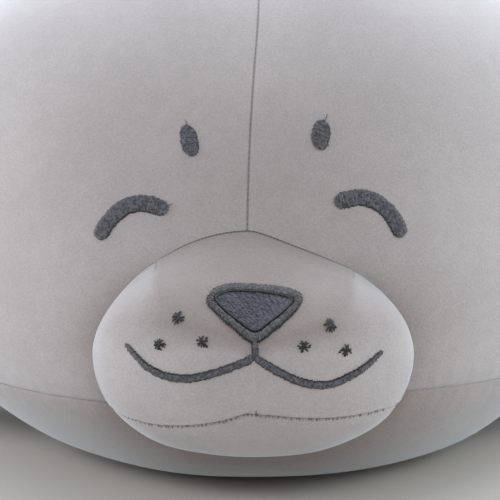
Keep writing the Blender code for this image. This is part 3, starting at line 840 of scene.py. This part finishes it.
class SEAL_OT_flippers(bpy.types.Operator):
    """Makes the two fore flippers and the two hind flippers as padded pouches"""

    bl_idname = "seal.flippers"
    bl_label = "Flippers"

    def execute(self, context):
        body, size = context.scene.seal_body, context.scene.seal_flippers
        share = 0.36
        half, seam, _, _ = body_levels(body, share)
        fore_root = (half, body.length * (share - 0.5), seam + 0.004)
        set_in = 0.020
        root_width = FLIPPER_BREADTHS[0] * size.hind_width
        hind_side = root_width / 2 / math.cos(size.hind_turn) - set_in * math.tan(size.hind_turn) + 0.0003
        hind_root = (hind_side, body.length / 2 - set_in, body.rear_seam - size.thickness * 0.2)
        fore = (size.fore_length, size.fore_width, size.thickness)
        hind = (size.hind_length, size.hind_width, size.thickness)
        kinds = (("fore_flipper", fore_root, fore, size.fore_turn, size.fore_droop),
                 ("hind_flipper", hind_root, hind, size.hind_turn, size.hind_droop))
        for word, side in SIDES.items():
            mirror = np.array([side, 1, 1])
            for name, root, measures, turn, droop in kinds:
                heading = math.pi / 2 - side * turn
                grid, maps = flipper_grid(np.multiply(root, mirror), measures, heading, droop)
                piece = closed_tube(f"{name}_cover_{word}", grid, maps, velour_material())
                carried(piece, "velour", f"{name}_{word}")
        return {"FINISHED"}


def smooth_path(points, count, ring=False):
    """Even steps along a curve of cubic pieces through the points, each with the slope of its neighbours.

    The points may have any number of coordinates; the steps are even over the first two.
    """
    points = np.asarray(points, float)
    if ring:
        points = np.concatenate([points, points[:1]])
        before, after = points[-2], points[1]
    else:
        before, after = 2 * points[0] - points[1], 2 * points[-1] - points[-2]
    framed = np.concatenate([[before], points, [after]])
    slopes = (framed[2:] - framed[:-2]) / 2
    t = np.linspace(0, 1, 25)[:, None]
    starts = (2 * t**3 - 3 * t**2 + 1) * points[:-1, None] + (t**3 - 2 * t**2 + t) * slopes[:-1, None]
    ends = (3 * t**2 - 2 * t**3) * points[1:, None] + (t**3 - t**2) * slopes[1:, None]
    fine = (starts + ends).reshape(-1, points.shape[1])
    along = np.concatenate([[0], np.cumsum(np.linalg.norm(np.diff(fine[:, :2], axis=0), axis=1))])
    wanted = np.linspace(0, along[-1], count, endpoint=not ring)
    return np.stack([np.interp(wanted, along, line) for line in fine.T], axis=1)


def path_length(path):
    """Length of a flat path of (x, z)."""
    return np.linalg.norm(np.diff(np.asarray(path)[:, :2], axis=0), axis=1).sum()


def on_cloth(carrier, flat):
    """Points and normals of a cloth piece behind flat (x, z) points, seen from the front.

    The points are projected along +Y; the normal comes from how the depth changes to the side and upwards.
    """
    step = 0.0006
    shifts = np.array([[0, 0], [step, 0], [-step, 0], [0, step], [0, -step]])
    wanted = (flat.reshape(-1, 2)[None] + shifts[:, None]).reshape(-1, 2)
    start = np.stack([wanted[:, 0], np.full(len(wanted), -0.4), wanted[:, 1]], axis=1)
    mesh = bpy.data.meshes.new("probe")
    mesh.vertices.add(len(start))
    mesh.vertices.foreach_set("co", start.astype(np.float32).ravel())
    probe = bpy.data.objects.new("probe", mesh)
    bpy.context.scene.collection.objects.link(probe)
    lay = probe.modifiers.new("lay", "SHRINKWRAP")
    lay.wrap_method = "PROJECT"
    lay.use_project_y = True
    lay.use_positive_direction = True
    lay.target = carrier
    laid = probe.evaluated_get(bpy.context.evaluated_depsgraph_get())
    found = np.zeros(len(start) * 3, np.float32)
    laid.data.vertices.foreach_get("co", found)
    bpy.data.objects.remove(probe)
    bpy.data.meshes.remove(mesh)
    depth = found.reshape(5, -1, 3)
    slope_x = (depth[1, :, 1] - depth[2, :, 1]) / (2 * step)
    slope_z = (depth[3, :, 1] - depth[4, :, 1]) / (2 * step)
    out = np.stack([slope_x, -np.ones_like(slope_x), slope_z], axis=1)
    out /= np.linalg.norm(out, axis=1, keepdims=True)
    return depth[0].reshape(flat.shape[:-1] + (3,)).astype(float), out.reshape(flat.shape[:-1] + (3,))


def stitches(carrier, starts, ends, width, raised, seed):
    """Threads laid over the cloth from start to end points: each rises on 1 - |2t - 1|**4 and thins at both
    ends on 1 - 0.75 |2t - 1|**6.

    Gives points, faces and a map of (round, along) for each.
    """
    random = np.random.RandomState(seed)
    count = len(starts)
    t = np.linspace(0, 1, STITCH_RINGS)
    t = t - 0.07 * np.sin(2 * math.pi * t)
    flat = starts[:, None] + (ends - starts)[:, None] * t[None, :, None]
    laid, out = on_cloth(carrier, flat)
    lift = raised * (1 - np.abs(2 * t - 1) ** 4) * random.uniform(0.85, 1.15, (count, 1)) - 0.00015
    centre = laid + out * lift[..., None]
    tangent = np.gradient(centre, axis=1)
    tangent /= np.linalg.norm(tangent, axis=-1, keepdims=True)
    side = np.cross(tangent, out)
    side /= np.linalg.norm(side, axis=-1, keepdims=True)
    thin = width / 2 * (1 - 0.75 * np.abs(2 * t - 1) ** 6) * random.uniform(0.86, 1.14, (count, 1))
    angle = np.linspace(0, 2 * math.pi, STITCH_SIDES, endpoint=False)
    ring = np.cos(angle)[:, None] * side[:, :, None] + np.sin(angle)[:, None] * out[:, :, None]
    points = centre[:, :, None] + thin[..., None, None] * ring
    each = STITCH_RINGS * STITCH_SIDES
    first = np.arange(count)[:, None, None] * each
    tube = (grid_quads(STITCH_RINGS, STITCH_SIDES, wrap=True)[:, ::-1][None] + first).reshape(-1, 4)
    caps = np.stack([np.arange(STITCH_SIDES), np.arange(STITCH_SIDES)[::-1] + each - STITCH_SIDES])
    caps = (caps[None] + first).reshape(-1, STITCH_SIDES)
    around, along = np.meshgrid(np.abs(angle / math.pi - 1), t, indexing="xy")
    maps = np.tile(np.stack([around.ravel(), along.ravel()], axis=1), (count, 1))
    return points.reshape(-1, 3), [tube, caps], maps


def merged(parts):
    """Several sets of points, faces and maps as one."""
    points, faces, maps, count = [], [], [], 0
    for part_points, part_faces, part_maps in parts:
        points.append(part_points)
        maps.append(part_maps)
        faces.extend(group + count for group in part_faces)
        count += len(part_points)
    return np.concatenate(points), faces, np.concatenate(maps)


def ragged(first, last, random, short, long):
    """Moves each thread's two ends along its own line by an uneven amount."""
    unit = (last - first) / np.maximum(np.linalg.norm(last - first, axis=1, keepdims=True), 1e-9)
    uneven = random.uniform(-short, long, (2, len(first), 1))
    return first - unit * uneven[0], last + unit * uneven[1]


def satin(carrier, path, face, seed, slant=0.0):
    """A band of satin stitches along a path of (x, z, width): threads square to it, one for each pitch."""
    random = np.random.RandomState(seed)
    count = max(int(path_length(path) / face.pitch), 4)
    path = smooth_path(path, count)
    line, half = path[:, :2], path[:, 2] / 2
    tangent = np.gradient(line, axis=0)
    tangent /= np.linalg.norm(tangent, axis=1, keepdims=True)
    side = np.stack([-tangent[:, 1], tangent[:, 0]], axis=1)
    run = np.linspace(0, path_length(line), count)
    from_end = np.clip(np.minimum(run, run[-1] - run) / half, 0, 1)
    half = (half * np.sqrt(1 - (1 - from_end) ** 2 * 0.9))[:, None]
    lean = slant * half * tangent
    starts, ends = ragged(line - side * half - lean, line + side * half + lean, random, 0.00018, 0.00034)
    return stitches(carrier, starts, ends, face.thread, face.raised, seed)


def satin_rim(carrier, outer, inner, face, seed):
    """Satin stitches between two closed outlines of as many points, matched one to one."""
    random = np.random.RandomState(seed)
    both = np.concatenate([(np.asarray(outer) + inner) / 2, outer, inner], axis=1)
    count = int(path_length(smooth_path(both, 200, ring=True)) / face.pitch)
    both = smooth_path(both, count, ring=True)
    starts, ends = ragged(both[:, 2:4], both[:, 4:6], random, 0.00012, 0.00030)
    return stitches(carrier, starts, ends, face.thread, face.raised, seed)


def turned(points, degrees):
    """Flat points turned anticlockwise about their origin."""
    cos, sin = math.cos(math.radians(degrees)), math.sin(math.radians(degrees))
    return np.asarray(points) @ np.array([[cos, sin], [-sin, cos]])


def row_spans(outline, angle, pitch):
    """Starts and ends of slanting rows inside a closed outline: each row's outermost crossings with it."""
    turn = turned(outline, -angle)
    after = np.roll(turn, -1, axis=0)
    levels = np.arange(turn[:, 1].min() + pitch / 2, turn[:, 1].max() - pitch / 4, pitch)
    low, high = np.minimum(turn[:, 1], after[:, 1]), np.maximum(turn[:, 1], after[:, 1])
    rise = np.where(np.abs(after[:, 1] - turn[:, 1]) < 1e-9, 1e-9, after[:, 1] - turn[:, 1])
    part = (levels[:, None] - turn[:, 1]) / rise
    x = turn[:, 0] + part * (after[:, 0] - turn[:, 0])
    met = (levels[:, None] >= low) & (levels[:, None] < high)
    left = np.where(met, x, np.inf).min(axis=1)
    right = np.where(met, x, -np.inf).max(axis=1)
    keep = right - left > pitch
    starts = np.stack([left[keep], levels[keep]], axis=1)
    ends = np.stack([right[keep], levels[keep]], axis=1)
    return turned(starts, angle), turned(ends, angle)


def tatami(carrier, outline, angle, stitch, face, seed):
    """Fill stitches in slanting rows, cut at needle points that step by 0.382 of a stitch from row to row."""
    starts, ends = row_spans(outline, angle, face.pitch * 0.88)
    length = np.linalg.norm(ends - starts, axis=1)
    unit = (ends - starts) / length[:, None]
    pieces = int(np.ceil(length.max() / stitch)) + 2
    phase = (np.arange(len(starts)) * 0.382) % 1.0
    cuts = (np.arange(pieces + 1)[None] - phase[:, None]) * stitch
    first, last = cuts[:, :-1].clip(0, None), np.minimum(cuts[:, 1:], length[:, None])
    keep = last - first > stitch * 0.12
    row = np.broadcast_to(np.arange(len(starts))[:, None], first.shape)[keep]
    lap = unit[row] * 0.0005
    begin = starts[row] + unit[row] * first[keep][:, None] - lap
    finish = starts[row] + unit[row] * last[keep][:, None] + lap
    return stitches(carrier, begin, finish, face.thread * 1.3, face.raised * 0.55, seed)


def chin_stitches(carrier, size, face, seed):
    """Uneven sewing stitches that cross the chin seam, longer above than below, with a knot in the middle."""
    random = np.random.RandomState(seed)
    seam = snout_half(size, True, SNOUT_COLUMNS, 3)[0][:, [0, 2]]
    seam = seam[np.abs(seam[:, 0]) < 0.84 * np.abs(seam[:, 0]).max()]
    count = int(path_length(seam) / 0.0016)

    def offsets(sideways, low, high):
        across = random.uniform(-sideways, sideways, count)
        return np.stack([across, random.uniform(low, high, count)], axis=1)

    line = smooth_path(seam, count) + offsets(0.0004, -0.0001, 0.0001)
    above = offsets(0.0007, 0.0002, 0.0011)
    below = offsets(0.0003, -0.0006, -0.0002)
    knot = seam[np.argmin(np.abs(seam[:, 0] - 0.0009))]
    starts = np.concatenate([line + below, [knot - [0.0, 0.0004], knot + [0.0005, -0.0003]]])
    ends = np.concatenate([line + above, [knot + [0.0002, 0.0026], knot + [0.0002, 0.0022]]])
    return stitches(carrier, starts, ends, face.thread * 1.1, face.raised * 0.25, seed)


def loose_thread(carrier, points, face):
    """A short loose end of thread lying on the cloth, as overlapping pieces along a path."""
    path = smooth_path(points, 5)
    step = np.diff(path, axis=0)
    overlap = step * 0.3
    return stitches(carrier, path[:-1] - overlap, path[1:] + overlap, face.thread * 0.62, 0.00035, 5)


def outline_thread(carrier, outline, width, raised, seed):
    """A thread laid round a closed outline, as overlapping pieces."""
    path = smooth_path(outline, 110, ring=True)
    step = np.roll(path, -1, axis=0) - path
    return stitches(carrier, path - step * 0.35, path + step * 1.35, width, raised, seed)


def tuft(carrier, place, knots, face, seed):
    """A whisker spot: uneven threads from its middle outwards, and a dark knot at the end of some."""
    random = np.random.RandomState(seed)
    count = 15
    angle = np.linspace(0, 2 * math.pi, count, endpoint=False) + random.uniform(-0.16, 0.16, count)
    reach = face.spot / 2 * random.uniform(0.66, 1.02, (count, 1))
    unit = np.stack([np.cos(angle), np.sin(angle)], axis=1)
    middle = np.array(place)
    across = np.stack([-unit[:, 1], unit[:, 0]], axis=1) * random.uniform(-0.0006, 0.0006, (count, 1))
    inner, outer = middle - unit * 0.0007 + across, middle + unit * reach + across
    rays = stitches(carrier, inner, outer, face.thread * 1.15, face.raised * 0.75, seed)
    ends = middle + np.asarray(knots)
    back = np.asarray(knots) / np.linalg.norm(knots, axis=1, keepdims=True) * 0.0011
    return rays, stitches(carrier, ends - back, ends, face.thread * 1.3, face.raised * 0.5, seed + 1)


def embroidered(name, parts, material, *nodes):
    """One piece of thread from sets of stitches, in place of the nodes that it stands for."""
    points, faces, maps = merged(parts)
    carried(make_piece(name, points, faces, material, maps), "thread", *nodes)


# Where each embroidered shape lies, seen from the front: x and z in metres, and the band's width if it varies
EYES = {
    "left": [(-0.0627, 0.1079), (-0.0617, 0.1116), (-0.0578, 0.1168), (-0.0532, 0.1207), (-0.0485, 0.1224),
             (-0.0429, 0.1226), (-0.0375, 0.1209), (-0.0350, 0.1195)],
    "right": [(0.0333, 0.1239), (0.0364, 0.1239), (0.0405, 0.1248), (0.0442, 0.1252), (0.0483, 0.1243),
              (0.0521, 0.1223), (0.0554, 0.1194), (0.0580, 0.1159), (0.0599, 0.1123), (0.0607, 0.1090)],
}
EYE_TAIL = [(-0.0352, 0.1214), (-0.0342, 0.1221), (-0.0330, 0.1227)]
BROWS = {
    "left": [(-0.0275, 0.1544, 0.0064), (-0.0262, 0.1481, 0.0075), (-0.0254, 0.1420, 0.0066)],
    "right": [(0.0295, 0.1562, 0.0070), (0.0281, 0.1505, 0.0083), (0.0268, 0.1448, 0.0074)],
}
BROW_TAILS = {
    "left": [(-0.0269, 0.1538), (-0.0274, 0.1553), (-0.0280, 0.1567)],
    "right": [(0.0292, 0.1556), (0.0303, 0.1571), (0.0309, 0.1590)],
}
NOSE_OUTER = [(-0.0180, 0.0878), (-0.0154, 0.0921), (-0.0086, 0.0938), (0.0010, 0.0935), (0.0101, 0.0926),
              (0.0171, 0.0911), (0.0193, 0.0881), (0.0152, 0.0831), (0.0082, 0.0777), (0.0003, 0.0733),
              (-0.0084, 0.0790), (-0.0153, 0.0844)]
NOSE_INNER = [(-0.0147, 0.0885), (-0.0128, 0.0900), (-0.0080, 0.0909), (0.0010, 0.0906), (0.0088, 0.0896),
              (0.0137, 0.0886), (0.0152, 0.0872), (0.0115, 0.0838), (0.0062, 0.0803), (0.0006, 0.0774),
              (-0.0058, 0.0809), (-0.0118, 0.0854)]
MOUTHS = {
    "left": [(0.0003, 0.0689, 0.0030), (-0.0029, 0.0670, 0.0031), (-0.0083, 0.0649, 0.0032),
             (-0.0138, 0.0629, 0.0032), (-0.0202, 0.0612, 0.0033), (-0.0257, 0.0603, 0.0033),
             (-0.0312, 0.0606, 0.0033), (-0.0358, 0.0618, 0.0031), (-0.0405, 0.0642, 0.0028),
             (-0.0448, 0.0680, 0.0023), (-0.0486, 0.0717, 0.0016)],
    "right": [(0.0010, 0.0684, 0.0028), (0.0042, 0.0663, 0.0032), (0.0097, 0.0631, 0.0033),
              (0.0152, 0.0602, 0.0033), (0.0207, 0.0585, 0.0033), (0.0262, 0.0577, 0.0032),
              (0.0308, 0.0584, 0.0031), (0.0354, 0.0602, 0.0030), (0.0401, 0.0624, 0.0028),
              (0.0448, 0.0656, 0.0024), (0.0493, 0.0691, 0.0017)],
}
PHILTRUM = [(0.0004, 0.0745, 0.0026), (0.0007, 0.0714, 0.0027), (0.0005, 0.0686, 0.0028)]
NOSE_KNOTS = [(-0.0168, 0.0868), (-0.0160, 0.0882), (-0.0170, 0.0892)]
SPOTS = {
    "left": [((-0.0287, 0.0822), [(0.0027, 0.0004), (-0.0023, 0.0004)]),
             ((-0.0356, 0.0725), [(0.0027, 0.0002), (-0.0020, -0.0004)]),
             ((-0.0192, 0.0739), [(-0.0024, 0.0010), (0.0020, 0.0021)])],
    "right": [((0.0292, 0.0797), [(-0.0024, 0.0001), (0.0026, -0.0010)]),
              ((0.0192, 0.0724), [(-0.0027, 0.0003), (-0.0013, -0.0022), (0.0028, 0.0005)]),
              ((0.0351, 0.0704), [(-0.0030, -0.0005), (0.0022, 0.0003)])],
}


class SEAL_OT_eyes(bpy.types.Operator):
    """Stitches the closed eyes and the brow spots"""

    bl_idname = "seal.eyes"
    bl_label = "Eyes and brows"

    def execute(self, context):
        face, cloth = context.scene.seal_face, context.scene.seal_cloth
        thread = thread_material("grey_thread", cloth.thread, end_shade=0.95, end_share=0.13)
        carrier = bpy.data.objects["body_cover"]
        for number, word in enumerate(SIDES):
            path = [(x, z, face.eye_width) for x, z in EYES[word]]
            parts = [satin(carrier, path, face, 11 + number)]
            if word == "left":
                parts.append(loose_thread(carrier, EYE_TAIL, face))
            embroidered(f"eye_stitches_{word}", parts, thread, f"eye_{word}")
            parts = [satin(carrier, BROWS[word], face, 21 + number, slant=0.25),
                     loose_thread(carrier, BROW_TAILS[word], face)]
            embroidered(f"brow_stitches_{word}", parts, thread, f"brow_{word}")
        return {"FINISHED"}


class SEAL_OT_nose(bpy.types.Operator):
    """Stitches the nose, the smile and the whisker spots"""

    bl_idname = "seal.nose"
    bl_label = "Nose and mouth"

    def execute(self, context):
        face, cloth = context.scene.seal_face, context.scene.seal_cloth
        thread = thread_material("mouth_thread", cloth.thread, end_shade=0.95, end_share=0.24)
        rim = thread_material("rim_thread", cloth.rim, end_shade=0.95, end_share=0.24)
        fill = thread_material("nose_thread", cloth.nose, end_shade=0.25, end_share=0.10)
        knot = thread_material("knot_and_gap_shadow_thread", cloth.knot, end_shade=0.5, end_share=0.30)
        seam = thread_material("seam_thread", cloth.seam, end_shade=0.2, end_share=0.10)
        carrier = bpy.data.objects["snout_cover"]
        knots = np.array(NOSE_KNOTS)
        parts = [satin_rim(carrier, NOSE_OUTER, NOSE_INNER, face, 31),
                 stitches(carrier, knots, knots + [0.0009, 0.0003], face.thread * 1.3, face.raised * 1.3, 32)]
        embroidered("nose_rim_stitches", parts, rim, "nose_rim")
        inside = smooth_path(NOSE_INNER, 240, ring=True)
        inside = inside.mean(axis=0) + (inside - inside.mean(axis=0)) * 0.985
        embroidered("nose_fill_stitches", [tatami(carrier, inside, -30, 0.0040, face, 41)], fill, "nose_fill")
        # A near-black thread round the fill: painted shadow in the gap between the nose's rim and fill
        gap_shadow = [outline_thread(carrier, inside, face.thread * 2.0, face.raised * 0.95, 45)]
        embroidered("nose_gap_shadow_thread", gap_shadow, knot)
        embroidered("chin_stitches", [chin_stitches(carrier, context.scene.seal_snout, face, 91)], seam)
        embroidered("philtrum_stitches", [satin(carrier, PHILTRUM, face, 51)], thread, "philtrum")
        for number, word in enumerate(SIDES):
            embroidered(f"mouth_stitches_{word}", [satin(carrier, MOUTHS[word], face, 61 + number)],
                        thread, f"mouth_{word}")
            for spot, (place, ends) in enumerate(SPOTS[word], 1):
                parts = tuft(carrier, place, ends, face, 70 + spot + 10 * number)
                embroidered(f"whisker_stitches_{word}_{spot}", parts, knot, f"whisker_spot_{word}_{spot}")
        return {"FINISHED"}


# Each lamp's place, the point it faces, its two sides in metres, its power in watts and its colour
LAMPS = {
    "back_light": ((0, 1.6, 1.2), (0, 0.05, 0.1), (1.8, 1.0), 4.5, (0.80, 0.90, 1)),
    "top_light": ((0.20, 0.45, 1.15), (0.05, 0, 0.2), (1.4, 0.7), 8.8, (0.93, 0.94, 1)),
    "near_top_light": ((0, 0.10, 0.80), (0, 0, 0.2), (0.9, 0.4), 2.8, (0.95, 0.95, 1)),
    "left_light": ((-1.3, -0.10, 0.50), (0, -0.1, 0.1), (0.9, 0.7), 12.2, (0.99, 0.99, 1)),
    "right_light": ((1.3, -0.10, 0.50), (0, -0.1, 0.1), (0.9, 0.7), 9.0, (0.95, 1, 0.98)),
    "right_back_light": ((1.0, 0.55, 0.75), (0, -0.05, 0.15), (0.9, 0.7), 2.2, (0.80, 0.90, 1)),
    "front_fill": ((0.1, -1.9, 0.60), (0, -0.2, 0.06), (1.6, 0.7), 5.6, (1, 0.86, 0.74)),
}
SOFT_LIGHT_COLOUR = (0.89, 0.95, 1, 1)
SOFT_LIGHT_STRENGTH = 0.51
FLOOR_HALF = 9
FLOOR_LEVEL = -0.0002
CAMERA_PLACE = (-0.0012, -0.9405, 0.1656)
CAMERA_TILT = 85
CAMERA_LENS_MM = 124.8


def area_light(name, place, target, size, power, colour):
    """A rectangular lamp that faces a point and isn't seen by the camera."""
    lamp = bpy.data.lights.new(name, "AREA")
    lamp.shape = "RECTANGLE"
    lamp.size, lamp.size_y = size
    lamp.energy = power
    lamp.color = colour
    made = bpy.data.objects.new(name, lamp)
    made.location = place
    made.rotation_euler = (Vector(target) - Vector(place)).to_track_quat("-Z", "Y").to_euler()
    made.visible_camera = False
    bpy.context.scene.collection.objects.link(made)


def studio_world(backdrop):
    """An even soft light, with the backdrop's colour where the camera or a gloss looks past the floor."""
    world = bpy.data.worlds.new("studio")
    world.use_nodes = True
    tree = world.node_tree
    soft = tree.nodes["Background"]
    fill_inputs(soft, {"Color": SOFT_LIGHT_COLOUR, "Strength": SOFT_LIGHT_STRENGTH})
    seen = node_at(tree, "ShaderNodeBackground", (0, -200), {"Color": (*backdrop, 1)})
    ray = node_at(tree, "ShaderNodeLightPath", (-400, 200)).outputs
    shown = math_node(tree, "MAXIMUM", (-200, 200), ray["Is Camera Ray"], ray["Is Glossy Ray"])
    either = {0: shown, 1: soft.outputs[0], 2: seen.outputs[0]}
    choice = node_at(tree, "ShaderNodeMixShader", (200, 100), either)
    fill_inputs(tree.nodes["World Output"], {"Surface": choice.outputs[0]})
    return world


class SEAL_OT_stage(bpy.types.Operator):
    """Makes the floor, the lights, the background and the camera"""

    bl_idname = "seal.stage"
    bl_label = "Stage"

    def execute(self, context):
        scene, cloth = context.scene, context.scene.seal_cloth
        sides = np.array([[-1, -1], [1, -1], [1, 1], [-1, 1]]) * FLOOR_HALF
        corners = np.column_stack([sides, np.full(4, FLOOR_LEVEL)])
        matt = plain_material("pale_floor", cloth.floor, 0.6)
        make_piece("floor", corners, [np.array([[0, 1, 2, 3]])], matt)
        for name, lamp in LAMPS.items():
            area_light(name, *lamp)
        scene.world = studio_world(cloth.backdrop)
        lens = bpy.data.cameras.new("camera")
        lens.lens = CAMERA_LENS_MM
        lens.sensor_width = 36
        eye = bpy.data.objects.new("camera", lens)
        eye.location = CAMERA_PLACE
        eye.rotation_euler = (math.radians(CAMERA_TILT), 0, 0)
        scene.collection.objects.link(eye)
        scene.camera = eye
        scene.view_settings.view_transform = "Standard"
        return {"FINISHED"}


class SEAL_PT_sizes(bpy.types.Panel):
    """Lists the seal's sizes and colours and the operators that make it"""

    bl_idname = "SEAL_PT_sizes"
    bl_label = "Plush seal"
    bl_space_type = "VIEW_3D"
    bl_region_type = "UI"
    bl_category = "Plush seal"

    def draw(self, context):
        for name, (label, group) in GROUPS.items():
            box = self.layout.box()
            box.label(text=label)
            for setting in group.__annotations__:
                box.prop(getattr(context.scene, name), setting)
        for operator in OPERATORS:
            self.layout.operator(operator.bl_idname)


# Each group of settings: its name in the scene, its heading in the panel and its class
GROUPS = {
    "seal_body": ("Body", SealBodySettings),
    "seal_snout": ("Snout", SealSnoutSettings),
    "seal_flippers": ("Flippers", SealFlipperSettings),
    "seal_face": ("Embroidery", SealFaceSettings),
    "seal_cloth": ("Colours", SealClothSettings),
}
OPERATORS = (SEAL_OT_stage, SEAL_OT_body, SEAL_OT_snout, SEAL_OT_flippers, SEAL_OT_eyes, SEAL_OT_nose)


def register():
    """Makes the settings, the operators and the panel known."""
    for name, (_, group) in GROUPS.items():
        bpy.utils.register_class(group)
        setattr(bpy.types.Scene, name, PointerProperty(type=group))
    for operator in OPERATORS:
        bpy.utils.register_class(operator)
    bpy.utils.register_class(SEAL_PT_sizes)


def unregister():
    """Takes back what register made known."""
    bpy.utils.unregister_class(SEAL_PT_sizes)
    for operator in reversed(OPERATORS):
        bpy.utils.unregister_class(operator)
    for name, (_, group) in reversed(GROUPS.items()):
        delattr(bpy.types.Scene, name)
        bpy.utils.unregister_class(group)


def main():
    """Makes the whole seal on its stage."""
    register()
    bpy.ops.seal.stage()
    bpy.ops.seal.body()
    bpy.ops.seal.snout()
    bpy.ops.seal.flippers()
    bpy.ops.seal.eyes()
    bpy.ops.seal.nose()


if __name__ == "__main__":
    main()
